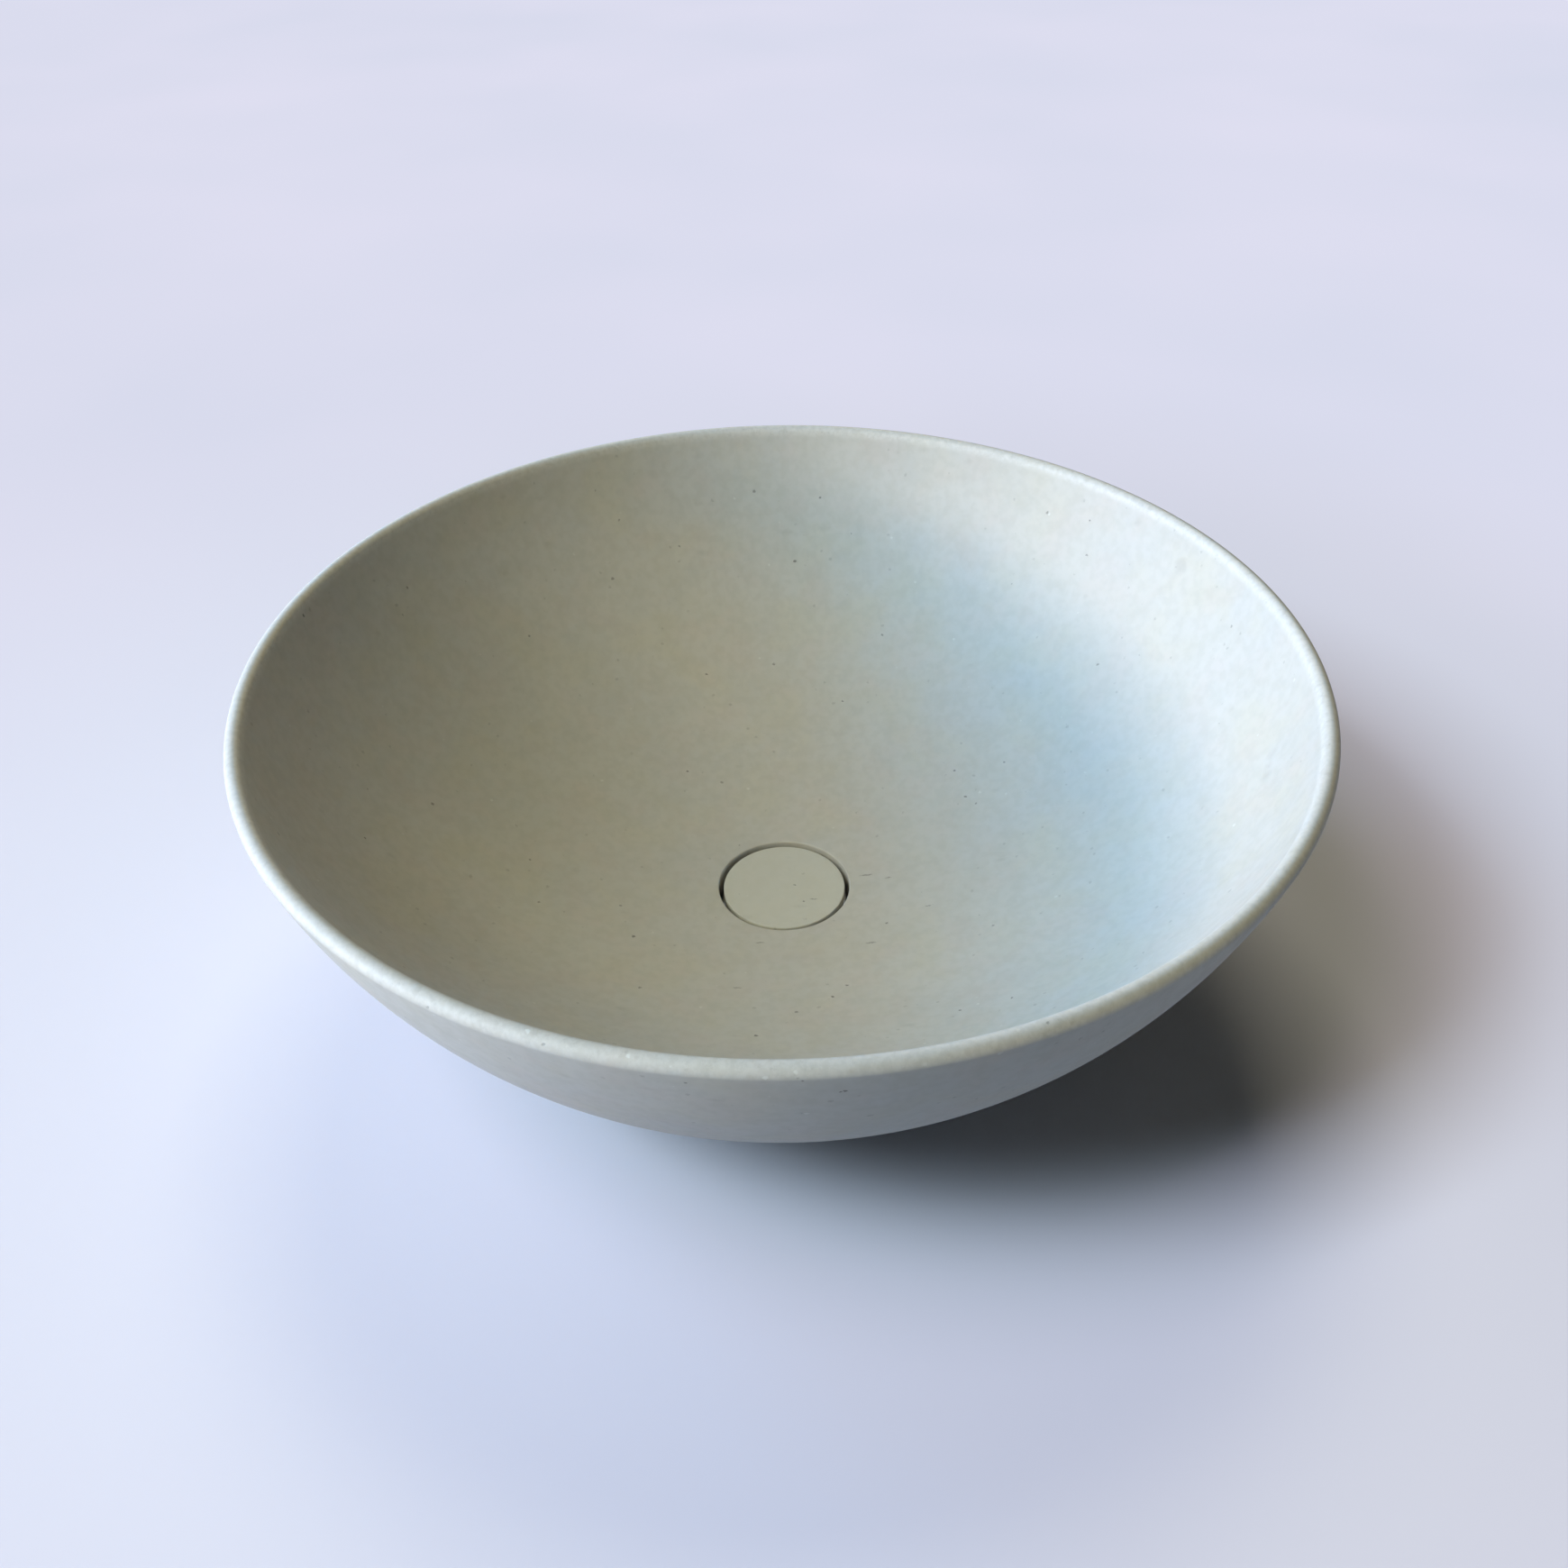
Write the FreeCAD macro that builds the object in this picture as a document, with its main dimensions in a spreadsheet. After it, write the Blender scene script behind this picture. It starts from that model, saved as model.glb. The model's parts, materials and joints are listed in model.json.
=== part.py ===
import FreeCAD, Part
import Sketcher
import math
import os

# Countertop washbasin with a flush drain cover on a push-open waste.
# Millimetres, +Z up, origin on the basin's axis in the plane of its foot.

V = FreeCAD.Vector
UP = V(0, 0, 1)
NEAR_SHARE = 0.001

# Driving sizes: name, value and what it measures
SIZES = (
    # bowl
    ("rim_radius", 210, "axis to the widest line of the lip"),
    ("bowl_height", 155, "foot to the crown of the lip"),
    ("lip_thickness", 6.7, "full-round lip, across"),
    ("outer_wall_angle", 74.3, "slope of the outer wall at the lip, degrees"),
    ("inner_wall_angle", 70, "slope of the inner wall at the lip, degrees"),
    ("floor_angle", 21, "slope where the floor curve meets the wall curve, degrees"),
    ("floor_height", 35, "foot to the lowest point of the floor curve"),
    ("foot_radius", 72, "outer radius of the foot"),
    ("foot_height", 3.9, "height of the foot's upright edge"),
    ("foot_rounding", 1.2, "rounding of the foot's lower edge"),
    ("pocket_radius", 50, "hollow under the foot"),
    ("pocket_rounding", 4, "rounding in the hollow's corner"),
    ("web_thickness", 6, "ledge under the waste's flange"),
    ("recess_radius", 28.5, "round recess that holds the cover"),
    ("recess_rounding", 0.7, "broken edge of the recess"),
    ("outlet_clearance", 1.5, "outlet hole to the waste's thread"),
    # drain cover
    ("cover_gap", 2.0, "ring gap between the cover and its recess"),
    ("cover_sink", 1.0, "cover's top below the recess edge"),
    ("cover_thickness", 5.0, "cover disc"),
    ("cover_rounding", 0.5, "broken edge of the cover disc"),
    ("bond_radius", 21.0, "adhesive pad under the cover disc"),
    ("bond_thickness", 0.4, "adhesive pad"),
    ("carrier_thickness", 1.6, "plate that carries the cover disc"),
    ("carrier_margin", 0.5, "plate's edge past the seal"),
    ("spigot_height", 0.9, "raised ring that centres the seal"),
    ("seal_radius", 23.0, "seal ring, outer"),
    ("seal_width", 3.5, "seal ring, across its section"),
    ("seal_thickness", 1.35, "seal ring"),
    ("seal_gap", 0.05, "closed seal to its seat"),
    ("cover_stroke", 8.0, "lift of the cover"),
    # waste
    ("flange_clearance", 1.0, "flange to the wall of the recess"),
    ("flange_thickness", 2.0, "flange of the waste"),
    ("flange_rounding", 0.5, "broken edge of the flange"),
    ("seat_chamfer", 1.0, "bevel at the mouth of the tube"),
    ("gasket_margin", 0.5, "gasket's edge inside the flange's edge"),
    ("gasket_thickness", 1.5, "gasket under the flange"),
    ("thread_radius", 20.955, "outside of the tube's pipe thread"),
    ("thread_clearance", 0.1, "thread to what is screwed or slid on it"),
    ("thread_chamfer", 0.6, "lead-in at the tube's free end"),
    ("tube_wall", 2.955, "tube of the waste"),
    ("tube_lip", 0.3, "tube's free end below the cross"),
    ("relief_depth", 0.4, "groove that parts the two lengths of thread"),
    ("relief_width", 0.8, "the same groove, along the tube"),
    ("washer_radius", 27.0, "washers under the bowl"),
    ("washer_thickness", 2.5, "rubber washer under the bowl"),
    ("slip_thickness", 1.0, "slip ring between washer and nut"),
    ("nut_height", 6.0, "back nut"),
    ("nut_flats", 50.0, "back nut across its flats"),
    ("nut_chamfer", 1.2, "corner bevel of the back nut"),
    ("arm_count", 4, "arms of the cross"),
    ("arm_width", 3.0, "arm of the cross"),
    ("arm_height", 2.4, "arm of the cross"),
    ("arm_bite", 0.5, "arm's end inside the tube's wall"),
    ("hub_radius", 6.5, "hub of the cross"),
    ("hub_height", 3.0, "hub of the cross"),
    # push-open cartridge
    ("stud_radius", 4.0, "threaded stud of the cartridge"),
    ("stud_clearance", 0.05, "stud to the hub's thread"),
    ("base_thickness", 1.2, "plate that closes the cartridge below"),
    ("sleeve_radius", 10.0, "cartridge sleeve, outer"),
    ("sleeve_wall", 1.2, "cartridge sleeve"),
    ("sleeve_top", 2.4, "upper end of the cartridge sleeve"),
    ("sleeve_rounding", 0.8, "rounding of the sleeve's upper edge"),
    ("lift_gap", 0.4, "lock nut to the sleeve when shut"),
    ("stop_gap", 0.1, "plunger collar to the sleeve when open"),
    ("stem_radius", 3.5, "stem of the plunger"),
    ("stem_thread_radius", 3.0, "threaded end of the stem"),
    ("stem_end_gap", 0.2, "end of the stem to the adhesive pad"),
    ("stem_clearance", 0.06, "stem to its bush"),
    ("ring_section", 1.0, "stem ring, thickness"),
    ("ring_clearance", 0.05, "stem ring to what it touches"),
    ("bush_wall", 0.9, "bush behind the stem ring"),
    ("bush_clearance", 0.03, "bush to the sleeve"),
    ("collar_thickness", 1.4, "collar of the plunger"),
    ("inside_clearance", 0.3, "collar and rotor to the sleeve"),
    ("pilot_radius", 3.0, "pilot of the plunger under its collar"),
    ("pilot_end", 1.0, "pilot's end below the thrust washer"),
    ("running_clearance", 0.05, "rotor to the pilot, and between flat faces"),
    ("rotor_height", 2.2, "latch rotor"),
    ("tooth_count", 8, "teeth of the latch rotor"),
    ("tooth_depth", 0.8, "teeth of the latch rotor"),
    ("tooth_width", 2.0, "gap between two teeth"),
    ("tooth_ring", 2.5, "teeth, along the radius"),
    ("thrust_thickness", 0.6, "thrust washer"),
    ("thrust_radius", 8.2, "thrust washer, outer"),
    ("wire_thickness", 0.7, "spring wire"),
    ("spring_radius", 6.5, "spring, to the middle of its wire"),
    ("spring_length", 4.7, "spring when the cover is shut"),
    ("spring_turns", 3, "turns of the spring"),
    ("lock_flats", 10.0, "lock nut across its flats"),
    ("lock_height", 2.0, "lock nut"),
    ("lock_chamfer", 0.4, "corner bevel of the lock nut"),
)

# Levels and curves that follow from the driving sizes
LEVELS = (
    # round lip and the points where the two walls leave it
    ("lip_radius", "Sizes.lip_thickness / 2"),
    ("lip_x", "Sizes.rim_radius - lip_radius"),
    ("lip_z", "Sizes.bowl_height - lip_radius"),
    ("outer_x", "lip_x + lip_radius * sin(Sizes.outer_wall_angle)"),
    ("outer_z", "lip_z - lip_radius * cos(Sizes.outer_wall_angle)"),
    ("inner_x", "lip_x - lip_radius * sin(Sizes.inner_wall_angle)"),
    ("inner_z", "lip_z + lip_radius * cos(Sizes.inner_wall_angle)"),
    # outer curve: leaves the lip at its slope and ends on the foot
    ("chord_x", "outer_x - Sizes.foot_radius"),
    ("chord_z", "outer_z - Sizes.foot_height"),
    ("chord_lean", "chord_x * sin(Sizes.outer_wall_angle) - chord_z * cos(Sizes.outer_wall_angle)"),
    ("outer_curve", "(chord_x ^ 2 + chord_z ^ 2) / (2 * chord_lean)"),
    # inner wall curve and floor curve: tangent to the lip, to each other and level on the axis
    ("bowl_depth", "inner_z - Sizes.floor_height"),
    ("rise_share", "cos(Sizes.floor_angle) - cos(Sizes.inner_wall_angle)"),
    ("reach_share", "sin(Sizes.inner_wall_angle) - sin(Sizes.floor_angle)"),
    ("sag_share", "1 - cos(Sizes.floor_angle)"),
    ("curve_share", "sin(Sizes.floor_angle) * rise_share - sag_share * reach_share"),
    ("floor_curve", "(inner_x * rise_share - bowl_depth * reach_share) / curve_share"),
    ("wall_curve", "(bowl_depth * sin(Sizes.floor_angle) - inner_x * sag_share) / curve_share"),
    ("knee_x", "floor_curve * sin(Sizes.floor_angle)"),
    ("knee_z", "Sizes.floor_height + floor_curve * sag_share"),
    # recess, from the floor's edge down through all that stands in it
    ("edge_z", "Sizes.floor_height + floor_curve - sqrt(floor_curve ^ 2 - Sizes.recess_radius ^ 2)"),
    ("disc_z", "edge_z - Sizes.cover_sink - Sizes.cover_thickness"),
    ("bond_z", "disc_z - Sizes.bond_thickness"),
    ("carrier_z", "bond_z - Sizes.carrier_thickness"),
    ("seal_z", "carrier_z - Sizes.seal_thickness"),
    ("flange_z", "seal_z - Sizes.seal_gap - Sizes.flange_thickness"),
    ("gasket_z", "flange_z - Sizes.gasket_thickness"),
    ("roof_z", "gasket_z - Sizes.web_thickness"),
    ("washer_z", "roof_z - Sizes.washer_thickness"),
    ("slip_z", "washer_z - Sizes.slip_thickness"),
    ("nut_z", "slip_z - Sizes.nut_height"),
    # cartridge, from the lock nut down to the free end of the tube
    ("lock_z", "carrier_z - Sizes.spigot_height - Sizes.lock_height"),
    ("sleeve_top_z", "lock_z - Sizes.lift_gap"),
    ("cavity_top_z", "sleeve_top_z - Sizes.sleeve_top"),
    ("collar_z", "cavity_top_z - Sizes.stop_gap - Sizes.cover_stroke - Sizes.collar_thickness"),
    ("rotor_z", "collar_z - Sizes.running_clearance - Sizes.rotor_height"),
    ("thrust_z", "rotor_z - Sizes.running_clearance - Sizes.thrust_thickness"),
    ("spring_z", "thrust_z - Sizes.running_clearance - Sizes.spring_length"),
    ("cavity_z", "spring_z - Sizes.running_clearance"),
    ("base_z", "cavity_z - Sizes.base_thickness"),
    ("hub_z", "base_z - Sizes.hub_height"),
    ("tube_z", "hub_z - Sizes.tube_lip"),
    # radii that follow their neighbours
    ("outlet_radius", "Sizes.thread_radius + Sizes.outlet_clearance"),
    ("screwed_radius", "Sizes.thread_radius + Sizes.thread_clearance"),
    ("tube_bore", "Sizes.thread_radius - Sizes.tube_wall"),
    ("flange_radius", "Sizes.recess_radius - Sizes.flange_clearance"),
    ("gasket_radius", "flange_radius - Sizes.gasket_margin"),
    ("cover_radius", "Sizes.recess_radius - Sizes.cover_gap"),
    ("carrier_radius", "Sizes.seal_radius + Sizes.carrier_margin"),
    ("seal_bore", "Sizes.seal_radius - Sizes.seal_width"),
    ("spigot_radius", "seal_bore - Sizes.thread_clearance"),
    ("lock_bore", "Sizes.stem_thread_radius + Sizes.stud_clearance"),
    ("hub_bore", "Sizes.stud_radius + Sizes.stud_clearance"),
    ("sleeve_bore", "Sizes.sleeve_radius - Sizes.sleeve_wall"),
    ("collar_radius", "sleeve_bore - Sizes.inside_clearance"),
    ("rotor_bore", "Sizes.pilot_radius + Sizes.running_clearance"),
    ("bush_bore", "Sizes.stem_radius + Sizes.stem_clearance"),
    ("ring_radius", "Sizes.stem_radius + Sizes.ring_clearance + Sizes.ring_section / 2"),
    ("ring_groove", "Sizes.stem_radius + Sizes.ring_section + 2 * Sizes.ring_clearance"),
    ("groove_half", "Sizes.ring_section / 2 + Sizes.ring_clearance"),
    ("bush_radius", "ring_groove + Sizes.bush_wall"),
    ("sleeve_hole", "bush_radius + Sizes.bush_clearance"),
    # lengths of the turned pieces, each from its own lower end
    ("outer_length", "flange_z - tube_z"),
    ("tube_length", "outer_length + Sizes.flange_thickness"),
    ("relief_top", "nut_z - tube_z"),
    ("relief_base", "relief_top - Sizes.relief_width"),
    ("relief_radius", "Sizes.thread_radius - Sizes.relief_depth"),
    ("hub_lift", "hub_z - tube_z"),
    ("sleeve_length", "sleeve_top_z - cavity_z"),
    ("sleeve_inside", "cavity_top_z - cavity_z"),
    ("base_length", "cavity_z - hub_z"),
    ("pilot_length", "collar_z - thrust_z + Sizes.pilot_end"),
    ("collar_top", "pilot_length + Sizes.collar_thickness"),
    ("stem_step", "lock_z - collar_z + pilot_length"),
    ("stem_length", "bond_z - Sizes.stem_end_gap - collar_z + pilot_length"),
    ("carrier_length", "Sizes.spigot_height + Sizes.carrier_thickness"),
    ("tooth_floor", "Sizes.rotor_height - Sizes.tooth_depth"),
    ("tooth_inner", "collar_radius - Sizes.tooth_ring"),
    ("coil_height", "Sizes.spring_length - Sizes.wire_thickness"),
)

doc = FreeCAD.newDocument("washbasin")
sheet = doc.addObject("Spreadsheet::Sheet", "Sizes")
for row, (alias, size, meaning) in enumerate(SIZES, start=1):
    sheet.set("A%d" % row, alias)
    sheet.set("B%d" % row, str(size))
    sheet.set("C%d" % row, meaning)
    sheet.setAlias("B%d" % row, alias)
doc.recompute()

levels = doc.addObject("App::VarSet", "Levels")
for name, formula in LEVELS:
    levels.addProperty("App::PropertyFloat", name, "Levels")
    levels.setExpression(name, formula)
    doc.recompute()


def value(text):
    """What an expression over the sheet and the levels gives."""
    return float(levels.evalExpression(text))


def new_body(name, height="0"):
    """An empty body that stands at a height of the bowl's frame."""
    body = doc.addObject("PartDesign::Body", name)
    body.Label = name
    if height != "0":
        body.setExpression("Placement.Base.z", height)
    return body


def new_sketch(body, name, role, lift=None):
    """A sketch on one of the body's own origin planes, lifted along its normal if asked."""
    sketch = body.newObject("Sketcher::SketchObject", body.Name + "_" + name)
    plane = [item for item in body.Origin.OriginFeatures if item.Role == role][0]
    sketch.AttachmentSupport = (plane, [""])
    sketch.MapMode = "FlatFace"
    if lift:
        sketch.setExpression("AttachmentOffset.Base.z", lift)
    return sketch


def bind(sketch, kind, *where, text):
    """A dimension of the sketch that follows an expression."""
    index = sketch.addConstraint(Sketcher.Constraint(kind, *where, value(text)))
    sketch.setExpression("Constraints[%d]" % index, text)


def arc_between(start, end, radius, side):
    """The arc from start to end whose centre lies to the left (side 1) or right (side -1)."""
    chord = end - start
    middle = start + chord * 0.5
    left = V(-chord.y, chord.x, 0).normalize()
    reach = math.sqrt(radius ** 2 - (chord.Length / 2) ** 2)
    centre = middle + left * reach * side
    first, last = (start, end) if side > 0 else (end, start)
    angles = [math.atan2(point.y - centre.y, point.x - centre.x) for point in (first, last)]
    return Part.ArcOfCircle(Part.Circle(centre, UP, radius), *angles)


def outline(sketch, points):
    """A closed outline. A point is (x, y), or (x, y, radius, side) where an arc leaves it."""
    corners = [V(value(point[0]), value(point[1]), 0) for point in points]
    starts = []
    ends = []
    for index, point in enumerate(points):
        start = corners[index]
        end = corners[(index + 1) % len(points)]
        if len(point) == 2:
            edge = sketch.addGeometry(Part.LineSegment(start, end))
            side = 1
        else:
            side = point[3]
            edge = sketch.addGeometry(arc_between(start, end, value(point[2]), side))
        starts.append((edge, 1 if side > 0 else 2))
        ends.append((edge, 2 if side > 0 else 1))
    for index, point in enumerate(points):
        sketch.addConstraint(Sketcher.Constraint("Coincident", *ends[index - 1], *starts[index]))
        before = points[index - 1]
        straight = index > 0 and len(before) == 2
        if straight and before[0] == point[0]:
            sketch.addConstraint(Sketcher.Constraint("Vertical", ends[index - 1][0]))
        else:
            bind(sketch, "DistanceX", -1, 1, *starts[index], text=point[0])
        if straight and before[1] == point[1]:
            sketch.addConstraint(Sketcher.Constraint("Horizontal", ends[index - 1][0]))
        else:
            bind(sketch, "DistanceY", -1, 1, *starts[index], text=point[1])
        if len(point) > 2:
            bind(sketch, "Radius", starts[index][0], text=point[2])


def feature(body, kind, name, sketch):
    """A feature of the body that works on a sketch."""
    made = body.newObject("PartDesign::" + kind, body.Name + "_" + name)
    made.Profile = sketch
    return made


def turn(body, points):
    """The body's first solid: an outline turned about the upright axis."""
    sketch = new_sketch(body, "outline", "XZ_Plane")
    outline(sketch, points)
    turned = feature(body, "Revolution", "turned", sketch)
    turned.ReferenceAxis = (sketch, ["V_Axis"])
    turned.Angle = 360
    doc.recompute()
    return body


def ring(name, height, inner, outer, thickness):
    """A plain ring that stands at a height."""
    body = new_body(name, height)
    return turn(body, ((inner, "0"), (outer, "0"), (outer, thickness), (inner, thickness)))


def pad(body, name, sketch, thickness):
    """A pad upwards from a sketch."""
    made = feature(body, "Pad", name, sketch)
    made.setExpression("Length", thickness)
    doc.recompute()
    return made


def cut_through(body, name, sketch):
    """A pocket through all, both ways."""
    before = body.Shape.Volume
    made = feature(body, "Pocket", name, sketch)
    made.Type = "ThroughAll"
    made.Midplane = True
    doc.recompute()
    assert body.Shape.Volume < before, body.Name + " is not cut"
    return made


def around(body, name, made, count):
    """Copies of a feature evenly around the upright axis."""
    pattern = body.newObject("PartDesign::PolarPattern", body.Name + "_" + name)
    pattern.Originals = [made]
    axis = [item for item in body.Origin.OriginFeatures if item.Role == "Z_Axis"][0]
    pattern.Axis = (axis, [""])
    pattern.Angle = 360
    pattern.setExpression("Occurrences", count)
    body.Tip = pattern
    doc.recompute()
    return pattern


def circle(sketch, radius):
    """A circle about the sketch's origin."""
    edge = sketch.addGeometry(Part.Circle(V(0, 0, 0), UP, value(radius)))
    sketch.addConstraint(Sketcher.Constraint("Coincident", edge, 3, -1, 1))
    bind(sketch, "Radius", edge, text=radius)


def edge_ring(body, kind, name, rings, size):
    """A fillet or chamfer on the round edges at the given radii and heights."""
    base = body.Tip
    names = []
    for radius, height in rings:
        wanted = V(value(radius), 0, value(height))
        for index, edge in enumerate(base.Shape.Edges, start=1):
            if not isinstance(edge.Curve, Part.Circle):
                continue
            found = V(edge.Curve.Radius, 0, edge.Curve.Center.z)
            if found.distanceToPoint(wanted) < NEAR_SHARE * wanted.x:
                names.append("Edge%d" % index)
    made = body.newObject("PartDesign::" + kind, body.Name + "_" + name)
    made.Base = (base, names)
    made.setExpression("Radius" if kind == "Fillet" else "Size", size)
    doc.recompute()


def make_bowl():
    """Bowl: foot, outer wall, round lip, inner wall, floor, recess, outlet and hollow foot."""
    bowl = new_body("bowl")
    turn(bowl, (
        ("Sizes.pocket_radius", "0"),
        ("Sizes.foot_radius", "0"),
        ("Sizes.foot_radius", "Sizes.foot_height", "Levels.outer_curve", 1),
        ("Levels.outer_x", "Levels.outer_z", "Levels.lip_radius", 1),
        ("Levels.lip_x", "Sizes.bowl_height", "Levels.lip_radius", 1),
        ("Levels.inner_x", "Levels.inner_z", "Levels.wall_curve", -1),
        ("Levels.knee_x", "Levels.knee_z", "Levels.floor_curve", -1),
        ("Sizes.recess_radius", "Levels.edge_z"),
        ("Sizes.recess_radius", "Levels.gasket_z"),
        ("Levels.outlet_radius", "Levels.gasket_z"),
        ("Levels.outlet_radius", "Levels.roof_z"),
        ("Sizes.pocket_radius", "Levels.roof_z"),
    ))
    edge_ring(bowl, "Fillet", "foot_edge", [("Sizes.foot_radius", "0")], "Sizes.foot_rounding")
    edge_ring(bowl, "Fillet", "hollow", [("Sizes.pocket_radius", "Levels.roof_z")], "Sizes.pocket_rounding")
    edge_ring(bowl, "Fillet", "recess_edge", [("Sizes.recess_radius", "Levels.edge_z")], "Sizes.recess_rounding")
    return bowl


def make_cover_disc():
    """Cover: a disc of the bowl's own material."""
    disc = new_body("cover_disc", "Levels.disc_z")
    turn(disc, (
        ("0", "0"),
        ("Levels.cover_radius", "0"),
        ("Levels.cover_radius", "Sizes.cover_thickness"),
        ("0", "Sizes.cover_thickness"),
    ))
    rim = [("Levels.cover_radius", "0"), ("Levels.cover_radius", "Sizes.cover_thickness")]
    edge_ring(disc, "Fillet", "edges", rim, "Sizes.cover_rounding")
    return disc


def make_cover_bond():
    """Adhesive pad between the disc and its carrier."""
    bond = new_body("cover_bond", "Levels.bond_z")
    return turn(bond, (
        ("0", "0"),
        ("Sizes.bond_radius", "0"),
        ("Sizes.bond_radius", "Sizes.bond_thickness"),
        ("0", "Sizes.bond_thickness"),
    ))


def make_cover_carrier():
    """Carrier plate: screws on the stem, and its spigot centres the seal."""
    carrier = new_body("cover_carrier", "Levels.carrier_z - Sizes.spigot_height")
    return turn(carrier, (
        ("Levels.lock_bore", "0"),
        ("Levels.spigot_radius", "0"),
        ("Levels.spigot_radius", "Sizes.spigot_height"),
        ("Levels.carrier_radius", "Sizes.spigot_height"),
        ("Levels.carrier_radius", "Levels.carrier_length"),
        ("Levels.lock_bore", "Levels.carrier_length"),
    ))


def make_waste_body():
    """Waste: flange, threaded tube and the cross that holds the cartridge."""
    waste = new_body("waste_body", "Levels.tube_z")
    turn(waste, (
        ("Levels.tube_bore", "0"),
        ("Sizes.thread_radius", "0"),
        ("Sizes.thread_radius", "Levels.relief_base"),
        ("Levels.relief_radius", "Levels.relief_base"),
        ("Levels.relief_radius", "Levels.relief_top"),
        ("Sizes.thread_radius", "Levels.relief_top"),
        ("Sizes.thread_radius", "Levels.outer_length"),
        ("Levels.flange_radius", "Levels.outer_length"),
        ("Levels.flange_radius", "Levels.tube_length"),
        ("Levels.tube_bore", "Levels.tube_length"),
    ))
    edge_ring(waste, "Chamfer", "lead_in", [("Sizes.thread_radius", "0")], "Sizes.thread_chamfer")
    edge_ring(waste, "Chamfer", "seat", [("Levels.tube_bore", "Levels.tube_length")], "Sizes.seat_chamfer")
    flange_edge = [("Levels.flange_radius", "Levels.tube_length")]
    edge_ring(waste, "Fillet", "flange_edge", flange_edge, "Sizes.flange_rounding")
    arm_sketch = new_sketch(waste, "arm_outline", "XY_Plane", "Levels.hub_lift")
    outline(arm_sketch, (
        ("0", "-Sizes.arm_width / 2"),
        ("Levels.tube_bore + Sizes.arm_bite", "-Sizes.arm_width / 2"),
        ("Levels.tube_bore + Sizes.arm_bite", "Sizes.arm_width / 2"),
        ("0", "Sizes.arm_width / 2"),
    ))
    arm = pad(waste, "arm", arm_sketch, "Sizes.arm_height")
    around(waste, "cross", arm, "Sizes.arm_count")
    hub_sketch = new_sketch(waste, "hub_outline", "XY_Plane", "Levels.hub_lift")
    circle(hub_sketch, "Sizes.hub_radius")
    pad(waste, "hub", hub_sketch, "Sizes.hub_height")
    bore_sketch = new_sketch(waste, "hub_bore_outline", "XY_Plane", "Levels.hub_lift")
    circle(bore_sketch, "Levels.hub_bore")
    cut_through(waste, "hub_bore", bore_sketch)
    return waste


def hex_nut(name, height, flats, thickness, bore, bevel):
    """A hexagon nut with a plain bore and bevelled corners."""
    nut = new_body(name, height)
    sketch = new_sketch(nut, "hexagon", "XY_Plane")
    corner = "%s / cos(30)" % flats
    corners = []
    for step in range(6):
        angle = 60 * step
        corners.append(("%s / 2 * cos(%d)" % (corner, angle), "%s / 2 * sin(%d)" % (corner, angle)))
    outline(sketch, corners)
    circle(sketch, bore)
    pad(nut, "block", sketch, thickness)
    bevels = new_sketch(nut, "bevel_outline", "XZ_Plane")
    tip = "%s / 2" % corner
    far = "%s / 2 + %s" % (corner, bevel)
    wide = bevel + " / tan(30)"
    for low, high in (("0", bevel), (thickness, "%s - %s" % (thickness, bevel))):
        outline(bevels, ((tip + " - " + wide, low), (far, low), (far, high), (tip, high)))
    before = nut.Shape.Volume
    groove = feature(nut, "Groove", "bevels", bevels)
    groove.ReferenceAxis = (bevels, ["V_Axis"])
    groove.Angle = 360
    doc.recompute()
    assert nut.Shape.Volume < before, name + " has no bevels"
    return nut


def make_cartridge_base():
    """Lower plate of the cartridge with the stud that screws into the cross."""
    base = new_body("cartridge_base", "Levels.hub_z")
    return turn(base, (
        ("0", "0"),
        ("Sizes.stud_radius", "0"),
        ("Sizes.stud_radius", "Sizes.hub_height"),
        ("Sizes.sleeve_radius", "Sizes.hub_height"),
        ("Sizes.sleeve_radius", "Levels.base_length"),
        ("0", "Levels.base_length"),
    ))


def make_cartridge_sleeve():
    """Drawn sleeve, open below, with the bush's hole in its upper end."""
    sleeve = new_body("cartridge_sleeve", "Levels.cavity_z")
    turn(sleeve, (
        ("Levels.sleeve_bore", "0"),
        ("Sizes.sleeve_radius", "0"),
        ("Sizes.sleeve_radius", "Levels.sleeve_length"),
        ("Levels.sleeve_hole", "Levels.sleeve_length"),
        ("Levels.sleeve_hole", "Levels.sleeve_inside"),
        ("Levels.sleeve_bore", "Levels.sleeve_inside"),
    ))
    top_edge = [("Sizes.sleeve_radius", "Levels.sleeve_length")]
    edge_ring(sleeve, "Fillet", "top_edge", top_edge, "Sizes.sleeve_rounding")
    return sleeve


def make_stem_bush():
    """Guide bush with the groove of the stem ring."""
    bush = new_body("stem_bush", "Levels.cavity_top_z")
    low = "Sizes.sleeve_top / 2 - Levels.groove_half"
    high = "Sizes.sleeve_top / 2 + Levels.groove_half"
    return turn(bush, (
        ("Levels.bush_bore", "0"),
        ("Levels.bush_radius", "0"),
        ("Levels.bush_radius", "Sizes.sleeve_top"),
        ("Levels.bush_bore", "Sizes.sleeve_top"),
        ("Levels.bush_bore", high),
        ("Levels.ring_groove", high),
        ("Levels.ring_groove", low),
        ("Levels.bush_bore", low),
    ))


def make_stem_ring():
    """Rubber ring that wipes the stem."""
    rubber = doc.addObject("Part::Torus", "stem_ring")
    rubber.Label = "stem_ring"
    rubber.setExpression("Radius1", "Levels.ring_radius")
    rubber.setExpression("Radius2", "Sizes.ring_section / 2")
    rubber.setExpression("Placement.Base.z", "Levels.cavity_top_z + Sizes.sleeve_top / 2")
    return rubber


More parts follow.
